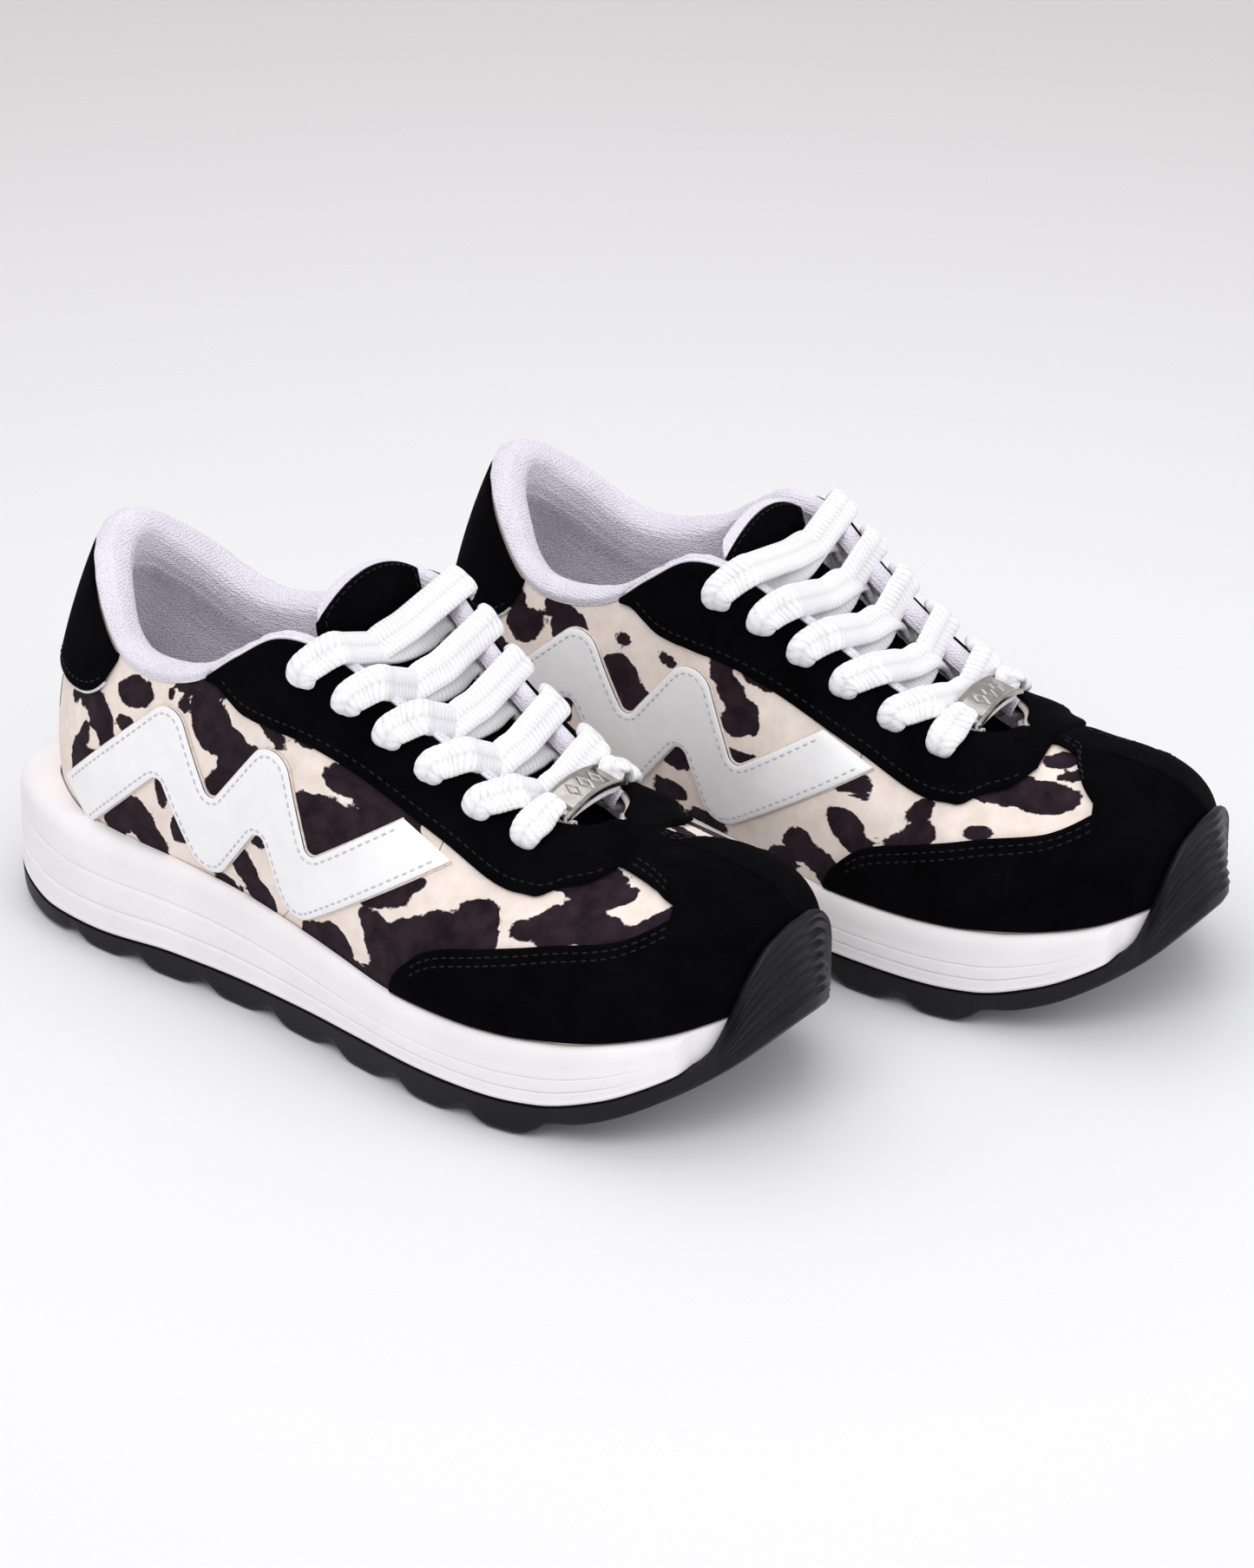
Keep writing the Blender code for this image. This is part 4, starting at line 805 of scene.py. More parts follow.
# The cow print of each side, in overlapping ovals:
# (x, rise above the sole, half length, half width, slant in degrees).
PRINT_OUTER = [
    (30, 42, 8, 2.4, 82), (37, 44, 7, 4, 65), (12, 30, 8, 5, 70), (4, 50, 6, 5, 0), (16, 60, 7, 4, 20),
    (57, 51, 6.5, 4.2, 0), (76, 60, 5.5, 3, 8), (84, 62, 6, 3.2, 10), (70, 55, 1.5, 1.5, 0),
    (76, 53, 2.2, 2.2, 0), (43, 38, 7, 4.6, -42), (48, 32, 5.5, 3.6, -30), (40, 43, 3, 2, 40),
    (54, 40, 2.6, 2, 0), (34, 20, 7, 5, 62), (41, 24, 5, 3.6, 30), (31, 10, 5, 3, 84),
    (36, 29, 4, 2.4, 70), (56, 12, 9.5, 6, -22), (63, 6, 7, 5, -30), (48, 6, 5, 4, 0),
    (70, 26, 7, 3.3, 84), (76, 14, 5, 3.6, 72), (88, 51, 8, 7.5, 0), (84, 57, 5, 4, 20),
    (97, 49, 8, 5, -24), (97, 42, 8, 6, 62), (92, 34, 5.5, 4.5, 20), (106, 49, 4.5, 4, 0),
    (99, 34, 5, 4, 50), (88, 7, 3.4, 2.4, 0), (94, 3, 5, 2.2, 0), (101, 12, 7, 5, -40),
    (97, 17, 5, 3, 80), (107, 6, 6, 4.5, -30), (107, 24, 2.2, 2.6, 90), (132, 41, 9, 7.5, 10),
    (142, 43, 6.5, 6, 30), (127, 36, 6, 5, 0), (139, 34, 7, 4, 26), (126, 44, 4, 4, 0),
    (136, 55, 6, 3.8, -8), (144, 54, 8, 5, -22), (153, 52, 6.5, 5.6, -42), (158, 46, 4.5, 4, -30),
    (122, 63, 5, 2.4, -10), (139, 5, 7, 6.5, -40), (131, 3, 7, 4.5, 0), (146, 0, 6, 5, 0),
    (156, 31, 7.5, 4.6, 18), (151, 27, 5.5, 3.2, 0), (164, 36, 4.4, 2.2, 24), (158, 14, 7.5, 7.5, 0),
    (153, 20, 5, 4, 0), (161, 6, 8, 7, -30), (168, 21, 8, 6, 12), (176, 27, 8, 5, 16),
    (185, 33, 6.5, 6, 30), (190, 27, 4.5, 5.2, 0), (183, 25, 4, 3, 0), (171, 12, 4, 3, 0),
    (209, 36, 6.5, 6.4, 0), (218, 36, 7.5, 4.8, 0), (202, 34, 4.5, 3.2, 0), (213, 42, 5.5, 3.4, 0),
    (204, 53, 6, 4.6, 0), (212, 51, 7, 6, 0), (219, 48, 4.6, 4.2, 0), (235, 35, 6.5, 5.2, 10),
    (229, 33, 4.5, 4, 0), (110, 60, 6, 3, -20), (196, 50, 4, 2.4, 20),
]
PRINT_INNER = [
    (12, 30, 8, 6, 60), (6, 52, 6, 6, 0), (24, 46, 8, 5, -20), (28, 22, 8, 6, 30), (40, 34, 6, 5, 0),
    (45, 12, 9, 6, -10), (50, 47, 6.5, 4.4, 30), (44, 54, 5, 3.4, 0), (66, 50, 6, 5.4, 0),
    (61, 55, 4, 3.2, 40), (60, 38, 3.4, 2.2, 0), (62, 22, 8, 5, 40), (72, 8, 8, 5, 0),
    (86, 53, 3.6, 2.4, 0), (86, 41, 6.5, 6, -20), (93, 35, 6.5, 5.5, -30), (79, 33, 5, 4, 20),
    (103, 53, 3.4, 1.8, 0), (90, 16, 6, 4, 60), (122, 58, 3.6, 6, 0), (126, 52, 4, 5, 20),
    (130, 46, 6, 5, -60), (127, 41, 4, 3, 0), (133, 60, 6.5, 3.6, -22), (152, 58, 5.4, 4.4, -40),
    (105, 22, 7.5, 4.2, -10), (98, 20, 4, 3, 0), (104, 9, 6.5, 3.6, 0), (117, 4, 7, 3, 0),
    (130, 31, 8, 3.4, 4), (165, 38, 5.4, 3.6, 36), (170, 37, 2.4, 4.4, 0), (167, 25, 6.5, 4.2, -8),
    (172, 21, 5, 3.6, 0), (189, 35, 5.6, 3, 58), (190, 28, 5.6, 4.4, 30), (184, 24, 4, 2.6, 20),
    (152, 13, 5, 5, 0), (159, 10, 5.6, 4.4, -10), (166, 5, 6, 5, 0), (146, 4, 5, 4, 0),
    (202, 48, 8, 4.6, -4), (211, 47, 9, 5.6, -8), (220, 45, 8, 5.2, -14), (227, 43, 5, 3.6, -10),
    (221, 61, 7, 3.4, 6), (229, 54, 5.4, 2.2, 0), (241, 46, 3.4, 1.8, 0), (208, 32, 4, 2.4, 0),
]
PRINT_SHIFT = 4.0
PRINT_GROWTH = 1.12
PRINT_FAR = 40.0


def rises(q, t):
    """Lengths above the sole, along the surface, of a grid of (q, t) places."""
    flat_q, flat_t = q.ravel(), t.ravel()
    lengths = section_lengths(flat_q)
    found = [np.interp(height, HEIGHTS, row) for height, row in zip(flat_t, lengths)]
    return np.array(found).reshape(q.shape)


def print_distance(shoe, q, t):
    """Signed distance in millimetres from the print's ovals, negative inside them."""
    outer = q.ravel()[0] < 0
    x = surface(q, t)[..., 0] - (PRINT_SHIFT if shoe.mirrored and outer else 0)
    rise = rises(q, t)
    best = np.full(q.shape, PRINT_FAR)
    for centre, height, long_half, short_half, slant in PRINT_OUTER if outer else PRINT_INNER:
        cosine, sine = math.cos(math.radians(slant)), math.sin(math.radians(slant))
        along_blob = (x - centre) * cosine + (rise - height) * sine
        across_blob = (rise - height) * cosine - (x - centre) * sine
        size = np.sqrt((along_blob / long_half) ** 2 + (across_blob / short_half) ** 2) / PRINT_GROWTH
        best = np.minimum(best, (size - 1) * min(long_half, short_half))
    return best


def fabric_panels(shoe):
    """The printed side panels, which meet at the heel, and the printed front panel."""
    rise = np.linspace(0, 1, 44)
    for name, side in (("quarter_outer", -1), ("quarter_inner", 1)):
        share = np.linspace(0.0005, 1, 90)[:, None]
        q = side * share * seam(rise)[None, :]
        cover(shoe, name, [(q, np.broadcast_to(rise, q.shape))], 0.0, 1.0, PRINT, 0.12,
              name, printed=True)
    grids = []
    for side in (-1, 1):
        share = np.linspace(0.002, 1, 90)[:, None]
        q = side * (seam(rise) + share * (LAST_ROW - seam(rise)))
        grids.append((q, np.broadcast_to(rise, q.shape)))
    cover(shoe, "vamp", grids, 0.0, 1.0, PRINT, 0.0, "vamp", printed=True)


# ---------------------------------------------------------------- black suede trim

SIDES = ((-1, "outer"), (1, "inner"))
EYESTAY_TOP_MARGIN = 0.6
# Lower edge of the lace panel: (row, depth below the top edge).
EYESTAY_LOW = [(5.25, 1.8), (5.6, 6), (6, 13), (6.5, 21), (7, 25.5), (7.5, 27), (8, 26.5), (9, 23.5),
               (10, 22.5), (11, 24.5), (11.7, 27), (12.3, 29.5), (12.8, 29.5), (13.1, 27.5),
               (13.3, 23), (13.45, 16)]
# Upper edge of the toe cap: (row, height above the sole).
CAP_RISE = [(9.75, 3.6), (9.85, 9), (10.05, 14), (10.35, 19.5), (10.7, 22.5), (12, 27.5), (13, 30),
            (14, 32.5), (15.1, 36.5)]
# Edges of the strip between the toe windows: (row, depth below the top edge).
STRIP_DEPTH = {-1: [(13.5, 17.5), (14, 19), (14.5, 21), (15.1, 26)],
               1: [(13.5, 3.5), (14, 6), (14.5, 11.5), (15.1, 25)]}
WINDOW_TIP = 15.1
STRIP_START = 13.42
TRIM_FOOT = 3.4
TRIM_LIFT = 1.75
TRIM_THICKNESS = 1.15
CAP_STITCH_GAPS = (2.6, 5.0)
EYESTAY_STITCH_GAP = 3.2
HEEL_TAB_TOP_MARGIN = 0.8
# Lower edge of the heel tab: (row, depth below the top edge).
HEEL_TAB_LOW = [(0, 40), (0.8, 39), (1.6, 33), (2.3, 24), (2.75, 13), (2.95, 3)]


def eyestay(shoe):
    """The U-shaped lace panel: a band along the opening and a rounded tab in front of it."""
    grids = []
    for side in (-1, 1):
        rows = np.concatenate([[5.25, 5.28, 5.35, 5.42], np.linspace(5.5, 12.95, 92), [13.0],
                               np.linspace(13.06, 13.38, 9), [13.42, 13.45]])
        top = np.where(rows >= THROAT_ROW, 0, EYESTAY_TOP_MARGIN)
        low = along(EYESTAY_LOW, rows)
        depth = low[:, None] + (top - low)[:, None] * shares(25, 1.5)
        grids.append(grid_at(side * rows, heights_below_top(side * rows, depth)))
    cover(shoe, "eyestay", grids, TRIM_LIFT, TRIM_THICKNESS, SUEDE, 0.7, "eyestay")
    for side, label in SIDES:
        rows = np.linspace(5.75, 13.28, 160)
        places = below_top(side * rows, along(EYESTAY_LOW, rows) - EYESTAY_STITCH_GAP)
        stitch_row(shoe, f"eyestay_stitches_{label}", places, TRIM_LIFT - 0.05, THREAD, radius=0.26)


def cap_edge(side, row):
    """Height t of the toe cap's upper edge behind the window, and the strip's edge past it."""
    q = side * row
    tip = below_top(q, straight(STRIP_DEPTH[side], np.minimum(row, WINDOW_TIP)))[:, 1]
    rise = above_sole(q, along(CAP_RISE, row))[:, 1]
    return np.where(row >= WINDOW_TIP, tip, np.minimum(rise, tip)), tip


def toe_cap(shoe):
    """The mudguard round the toe, with the strip that runs back up the middle."""
    grids = []
    for side in (-1, 1):
        rows = np.concatenate([[9.75, 9.77], np.linspace(9.8, 10.6, 14), np.linspace(10.7, WINDOW_TIP, 56),
                               np.linspace(15.2, LAST_ROW, 30)])
        upper = cap_edge(side, rows)[0]
        foot = above_sole(side * rows, np.full(len(rows), TRIM_FOOT))[:, 1]
        grids.append(grid_at(side * rows, foot[:, None] + (upper - foot)[:, None] * shares(30, 1.5)))
        rows = rows[rows >= WINDOW_TIP]
        rows = np.concatenate([np.linspace(STRIP_START, WINDOW_TIP, 24)[:-1], rows])
        tip = cap_edge(side, rows)[1]
        grids.append(grid_at(side * rows, tip[:, None] + (1 - tip)[:, None] * shares(20, 1.4)))
    cover(shoe, "toe_cap", grids, TRIM_LIFT, TRIM_THICKNESS, SUEDE, 0.6, "toe_cap")
    for side, label in SIDES:
        for number, gap in enumerate(CAP_STITCH_GAPS, 1):
            rows = np.linspace(10.15, WINDOW_TIP - 0.1, 120)
            cap = above_sole(side * rows, along(CAP_RISE, rows) - gap)
            stitch_row(shoe, f"cap_stitches_{label}_{number}", cap, TRIM_LIFT, THREAD, radius=0.25)
            rows = np.linspace(WINDOW_TIP - 0.25, STRIP_START + 0.12, 50)
            strip = below_top(side * rows, straight(STRIP_DEPTH[side], rows) - gap)
            stitch_row(shoe, f"strip_stitches_{label}_{number}", strip, TRIM_LIFT, THREAD, radius=0.25)


def heel_tab(shoe):
    """The suede piece over the top of the heel seam, with a thin pale edge below it."""
    rows = np.linspace(-2.95, 2.95, 71)
    low = along(HEEL_TAB_LOW, np.abs(rows))
    depth = low[:, None] + (HEEL_TAB_TOP_MARGIN - low)[:, None] * shares(30, 1.4)
    cover(shoe, "heel_tab", [grid_at(rows, heights_below_top(rows, depth))], TRIM_LIFT, TRIM_THICKNESS,
          SUEDE, 0.6, "heel_tab")
    edge = below_top(rows[2:-2], low[2:-2] + 0.35)
    tube(shoe, "heel_tab_edge", surface(edge[:, 0], edge[:, 1], 0.75), 0.55, SILVER_EDGE)
    stitch_row(shoe, "heel_tab_stitches", below_top(rows[3:-3], low[3:-3] - 3), TRIM_LIFT, THREAD,
               radius=0.25)


# ---------------------------------------------------------------- the side bands

BAND_HALF_WIDTH = 8.0
# The ends and the bends of the band's middle line in side view: (x, z).
BAND_ROUTE = [(31.5, 44.0), (71, 79), (88, 48.8), (112, 79), (124, 46.5), (163.1, 71.7)]
BAND_END_SLANT = 5.0
BAND_FILLET = 3.0
BEND_STEPS = 14
RUN_STEPS = 26
BAND_STITCH_GAP = 1.9
SEARCH_ROWS = (0.8, THROAT_ROW - 0.5)
SEARCH_STEPS = 24


def rows_at(side, x, z):
    """The (q, t) places on one side of the upper that are seen at (x, z) from the side."""
    low = np.full(len(x), SEARCH_ROWS[0])
    high = np.full(len(x), SEARCH_ROWS[1])
    t = np.zeros(len(x))
    for _ in range(SEARCH_STEPS):
        row = 0.5 * (low + high)
        points = bezier(controls(side * row)[:, None], np.broadcast_to(HEIGHTS, (len(row), len(HEIGHTS))))
        t = np.array([np.interp(height, line[:, 2], HEIGHTS) for height, line in zip(z, points)])
        reached = bezier(controls(side * row), t)[:, 0] < x
        low = np.where(reached, row, low)
        high = np.where(reached, high, row)
    return side * row, t


def band_edges(width):
    """The zigzag's two edges in side view, round outside each bend and tighter inside it."""
    route = [np.array(point, float) for point in BAND_ROUTE]
    runs = [(b - a) / np.linalg.norm(b - a) for a, b in zip(route, route[1:])]
    across = width * np.array([-runs[0][1], runs[0][0]])
    left, right = [route[0] + across], [route[0] - across]
    for corner, d1, d2 in zip(route[1:], runs, runs[1:]):
        turn = math.atan2(d1[0] * d2[1] - d1[1] * d2[0], float(np.dot(d1, d2)))
        fillet = BAND_FILLET + BAND_HALF_WIDTH - width
        centre = corner + (d2 - d1) / np.linalg.norm(d2 - d1) * (width + fillet) / math.cos(turn / 2)
        start = math.atan2(d1[1], d1[0]) + (math.pi / 2 if turn < 0 else -math.pi / 2)
        spokes = [np.array([math.cos(start + turn * i / BEND_STEPS), math.sin(start + turn * i / BEND_STEPS)])
                  for i in range(BEND_STEPS + 1)]
        outer = [corner + width * spoke for spoke in spokes]
        folded = [centre + fillet * spoke for spoke in spokes]
        new_left, new_right = (outer, folded) if turn < 0 else (folded, outer)
        for i in range(1, RUN_STEPS):
            share = i / RUN_STEPS
            left.append(left[-i] + share * (new_left[0] - left[-i]))
            right.append(right[-i] + share * (new_right[0] - right[-i]))
        left += new_left
        right += new_right
    across = width * np.array([-runs[-1][1], runs[-1][0]])
    end = BAND_END_SLANT * runs[-1]
    first_left, first_right = left[-1], right[-1]
    for i in range(1, RUN_STEPS + 1):
        share = i / RUN_STEPS
        left.append(first_left + share * (route[-1] + across - end - first_left))
        right.append(first_right + share * (route[-1] - across + end - first_right))
    return np.array(left), np.array(right)


def edge_places(edge, side, trim):
    """(q, t) places of an edge of the band, without double points and without its ends."""
    keep = np.concatenate([[True], np.linalg.norm(np.diff(edge, axis=0), axis=1) > 1e-6])
    edge = edge[keep]
    edge = edge[trim:len(edge) - trim]
    return rows_at(side, edge[:, 0], edge[:, 1])


def zigzag(shoe, name, side):
    """A leather band that climbs and falls in strokes along the side."""
    left, right = band_edges(BAND_HALF_WIDTH)
    share = shares(2 * BAND_HALF_WIDTH, 1.7)
    grid = left[:, None] + (right - left)[:, None] * share[None, :, None]
    q, t = rows_at(side, grid[..., 0].ravel(), grid[..., 1].ravel())
    shape = grid.shape[:2]
    cover(shoe, name, [(q.reshape(shape), t.reshape(shape))], TRIM_LIFT, 1.2, LEATHER, 0.45, name)
    for label, edge in zip(("upper", "lower"), band_edges(BAND_HALF_WIDTH - BAND_STITCH_GAP)):
        places = np.column_stack(edge_places(edge, side, 2))
        stitch_row(shoe, f"{name}_stitches_{label}", places, TRIM_LIFT - 0.02, BAND_THREAD, pitch=2.7,
                   length=2.1, radius=0.3)
    for label, edge in zip(("upper", "lower"), band_edges(BAND_HALF_WIDTH + 0.1)):
        q, t = edge_places(edge, side, 0)
        tube(shoe, f"{name}_raw_edge_{label}", surface(q, t, 0.42), 0.4, RAW_EDGE, 6)


# ---------------------------------------------------------------- the sole

SOLE_GAP = 0.4
SOLE_BOND_INSET = 1.0
SEAT_DEPTH = 3.0
TREAD_INSET = [(-7, 2.5), (20, 1.5), (150, 1.5), (200, 3), (230, 3.5), (262, 3), (271.5, 3.5)]
TREAD_ROUNDING = [(-7, 2), (240, 2.2), (258, 3.5), (271.5, 6.5)]
BUMPER_WALL = [(-7, 0.5), (245, 0.5), (256, 2.2), (271.5, 2.2)]
BUMPER_START = 252.0
BUMPER_STEPS = 44
RIB_COUNT = 7
RIB_DEPTH = 0.75
TREAD_WALL = 0.3
WAVE_SHARPNESS = 2.4
WAVE_END = 0.6
# Grooves round the midsole: (place from the bottom to the shoulder, depth).
FOAM_GROOVES = ((0.30, 0.55), (0.72, 0.5))
FOAM_GROOVE_WIDTH = 0.018


def fine_stations():
    """Stations along the sole, closer together round the heel and the toe."""
    heel = HEEL_BACK + (14 - HEEL_BACK) * np.linspace(0, 1, 34) ** 2
    middle = np.linspace(15, 244, 190)
    toe = TOE_TIP - (TOE_TIP - 245) * np.linspace(1, 0, 60) ** 2
    return np.concatenate([heel, middle, toe])


def tread_bottom(x):
    """Height of the tread along the shoe: heel curve, smooth waves, toe curve."""
    phase = (x - WAVE_FIRST) / WAVE_PITCH
    wave = WAVE_RISE * (0.5 - 0.5 * np.cos(2 * math.pi * phase)) ** WAVE_SHARPNESS
    first, last = WAVE_FIRST - 0.5 * WAVE_PITCH, WAVE_FIRST + (WAVE_COUNT - WAVE_END) * WAVE_PITCH
    heel = along(TREAD_HEEL + [(first, WAVE_RISE)], x)
    start = WAVE_RISE * (0.5 - 0.5 * math.cos(2 * math.pi * (1 - WAVE_END))) ** WAVE_SHARPNESS
    toe = along([(last, start)] + TREAD_TOE, x)
    return np.where(x < first, heel, np.where(x > last, toe, wave))


def ring_points(inset, height, stations):
    """A closed ring round the sole, from its inset and height at each station."""
    inset, height = (np.broadcast_to(value, stations.shape) for value in (inset, height))
    outer = edge_points(-1, stations, inset, height)
    inner = edge_points(1, stations[-2:0:-1], inset[-2:0:-1], height[-2:0:-1])
    return np.vstack([outer, inner])


def stacked(shoe, name, stations, rings, finish, replaced, angle):
    """A closed body from rings listed from the bottom outside to the top inside."""
    count = 2 * len(stations) - 2
    points = np.vstack([ring_points(inset, height, stations) for inset, height in rings])
    faces = grid_faces(len(rings), count, closed_columns=True) + across_caps(len(rings), count)
    made = make_mesh(f"{shoe.name}_{name}", shoe.world(points), faces, finish, angle=angle)
    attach(made, shoe.body)
    stand_in(shoe, replaced)


def outsole(shoe):
    x = fine_stations()
    tread = tread_bottom(x)
    top = along(SOLE_LINE, x) + along(BUMPER_TOP, x)
    low = np.minimum(tread + along(TREAD_ROUNDING, x), top - 1.0)
    lean = along(BUMPER_LEAN, x)
    wall = straight(BUMPER_WALL, x)
    inset = straight(TREAD_INSET, x)
    rings = [(inset + 6, tread), (inset, tread)]
    rings += [(TREAD_WALL + in_share * (inset - TREAD_WALL), tread + up_share * (low - tread))
              for in_share, up_share in ((0.45, 0.2), (0.12, 0.55))]
    bumper = smooth_step(BUMPER_START, BUMPER_START + 6, x)
    for i in range(BUMPER_STEPS + 1):
        share = i / BUMPER_STEPS
        height = low + share * (top - low)
        border = smooth_step(0.0, 0.1, share) * (1 - smooth_step(0.88, 0.97, share))
        groove = (0.5 - 0.5 * math.cos(2 * math.pi * share * RIB_COUNT)) ** 0.8
        rib = bumper * smooth_step(BUMPER_START + 4, BUMPER_START + 8.5, x) * border * groove * RIB_DEPTH
        rounded = 0.5 * (max(abs(share - 0.5) - 0.46, 0) / 0.04) ** 2
        rings.append((TREAD_WALL * (1 - share) + lean * share + rib + rounded * bumper, height))
    rings += [(lean + wall * 0.5, top + 0.25 * bumper), (lean + wall, top - 0.1),
              (np.maximum(SOLE_BOND_INSET, straight(NOSE_INSET, x) - 0.8), along(SOLE_LINE, x))]
    stacked(shoe, "outsole_rubber", x, rings, RUBBER, "outsole", 32)


def midsole(shoe):
    x = fine_stations()
    base = along(SOLE_LINE, x) + SOLE_GAP
    rim = along(RIM, x)
    inset = along(UPPER_INSET, x)
    nose = straight(NOSE_INSET, x)
    tall = rim - base
    rings = [(np.maximum(SOLE_BOND_INSET, nose), base)]
    lower = base + np.minimum(0.18 * tall, 1.5)
    upper = rim - np.minimum(0.38 * tall, 7.5)
    for i in range(7):
        angle = math.pi / 2 * i / 6
        rings.append((np.maximum(0.9 * (1 - math.sin(angle)), nose),
                      base + (lower - base) * (1 - math.cos(angle) * 0.9)))
    for i in range(1, 41):
        share = i / 40
        groove = 0.0
        for place, depth in FOAM_GROOVES:
            groove += depth * math.exp(-((share - place) / FOAM_GROOVE_WIDTH) ** 2)
        fade = 1 - smooth_step(225, 250, x)
        bulge = 0.35 * math.sin(math.pi * share)
        rings.append((np.maximum(0.25 - bulge * 0.6 + groove * fade, nose), lower + share * (upper - lower)))
    for i in range(1, 13):
        angle = math.pi / 2 * i / 12
        across = (inset - 1.6) * (1 - math.cos(angle)) ** 1.25
        rings.append((np.maximum(across + 0.2, nose), upper + (rim - upper) * math.sin(angle) ** 0.9))
    rings += [(inset - 0.9, rim), (inset - 0.8, rim - 0.6), (inset - 0.8, rim - SEAT_DEPTH)]
    stacked(shoe, "midsole_foam", x, rings, FOAM, "midsole", 50)


INSOLE_OUTER = [(23.5, 0), (24.8, -7.2), (28.6, -13.2), (36, -18.2), (55.6, -23.4), (80.3, -26.2),
                (111.8, -29.4), (142.5, -35.2), (171.7, -41), (198.8, -42.6), (221.5, -38), (236, -30.6),
                (244.6, -21.2), (250.6, -10.4), (253.6, -2.4), (254.4, 4.2)]
INSOLE_INNER = [(23.5, 0), (24.8, 7), (28.6, 12.6), (36, 17), (55.6, 22), (80.1, 24.6), (111.4, 27.3),
                (142.2, 32.4), (171.8, 38), (199.6, 40.8), (222, 37.8), (237, 32.4), (245.4, 24.9),
                (250.8, 15.6), (253.4, 9.4), (254.4, 4.2)]
INSOLE_UNDER = [(23.5, 44), (28.6, 42.4), (36, 40.3), (55.6, 39.2), (80, 38.5), (111.6, 35.2),
                (142.4, 31.3), (171.7, 28.7), (199, 29.3), (221.5, 31.6), (236, 35.1), (244.6, 37.9),
                (250.6, 40), (253.5, 41.1), (254.4, 41.6)]
INSOLE_CROWN = 4.0
INSOLE_COUNT = 360


def insole(shoe):
    """The loose padded insole, with a rounded raised edge and a dished top."""
    loop = closed_loop(INSOLE_OUTER, INSOLE_INNER, INSOLE_COUNT + 1)[:-1]
    run = np.roll(loop, -1, axis=0) - np.roll(loop, 1, axis=0)
    inward = unit(np.column_stack([-run[:, 1], run[:, 0]]))
    under = along(INSOLE_UNDER, loop[:, 0])
    edge = 6.5 - 2.0 * smooth_step(95, 130, loop[:, 0])
    rings = [(0.6, 0 * edge), (0.15, 0.35 * edge), (0, 0.8 * edge), (0.4, edge - 0.3), (1.0, edge),
             (1.8, edge - 0.1)]
    rings += [(2.0 + 4.4 * share, edge - (edge - INSOLE_CROWN) * smooth_step(0, 1, share))
              for share in np.linspace(0.1, 1, 9)]
    verts = [np.column_stack([loop + inset * inward, under + rise]) for inset, rise in rings]
    middle_y = centre_y(loop[:, 0])
    for share in (0.25, 0.5, 0.75, 0.97):
        last = verts[len(rings) - 1]
        inner = last.copy()
        inner[:, 1] = last[:, 1] + share * (middle_y - last[:, 1])
        inner[:, 0] = last[:, 0] + share * (0.04 * (130 - last[:, 0]))
        inner[:, 2] = straight(INSOLE_UNDER, inner[:, 0]) + INSOLE_CROWN - 0.2 * share
        verts.append(inner)
    faces = grid_faces(len(verts), INSOLE_COUNT, closed_columns=True)
    faces += across_caps(len(verts), INSOLE_COUNT)
    made = make_mesh(f"{shoe.name}_insole_pad", shoe.world(np.vstack(verts)), faces, INSOLE_TERRY, angle=60)
    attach(made, f"{shoe.name}_insole_body")
    stand_in(shoe, "insole")


# ---------------------------------------------------------------- the padded collar and lining

# Section of the collar at the heel and at the laces: (lift off the fabric, depth below the top).
COLLAR_PADDED = [(0.5, 0.8), (1.5, -1.9), (-1.9, -5.3), (-7.6, -4.4), (-10.3, -0.5),
                 (-11.2, 9), (-7.6, 31), (-5.4, 44)]
COLLAR_THIN = [(0.5, 0.7), (0.9, -1.3), (-1.4, -2.8), (-4.2, -2.2), (-5.1, -0.5),
               (-5.2, 9), (-5.2, 24), (-5.2, 44)]
COLLAR_END = 11.7
PADDED_UNTIL = 4.2
THIN_FROM = 6.2
COLLAR_ROWS = 300
COLLAR_PROBE = (150, 70)
KNIT_RIB = 1.5


def collar_ring(q):
    """Fine (lift, depth) places round the collar's section, from the outer lip down the inside."""
    ease = float(smooth_step(PADDED_UNTIL, THIN_FROM, abs(q)))
    padded = np.array(COLLAR_PADDED, float)
    thin = np.array(COLLAR_THIN, float)
    profile = padded + ease * (thin - padded)
    profile[7, 1] = section_lengths(q)[0][-1] - 1.5
    knots = np.arange(8.0)
    slopes = np.gradient(profile, axis=0)
    slopes[6:] = profile[7] - profile[6]
    share = np.concatenate([np.linspace(0, 5, 46), np.linspace(5, 7, 50)[1:]])
    return hermite(knots, profile, share, slopes)


def collar_points(q):
    """Points of the collar's section at one row position."""
    places = collar_ring(q)
    lengths = section_lengths(q)[0]
    points = controls(q)
    up = unit(points[3] - points[2])
    depth = places[:, 1]
    t = np.interp(lengths[-1] - np.maximum(depth, 0), lengths, HEIGHTS)
    normal = surface_normals(np.full(len(t), q), t)
    return bezier(points, t) + places[:, 0:1] * normal - np.minimum(depth, 0)[:, None] * up


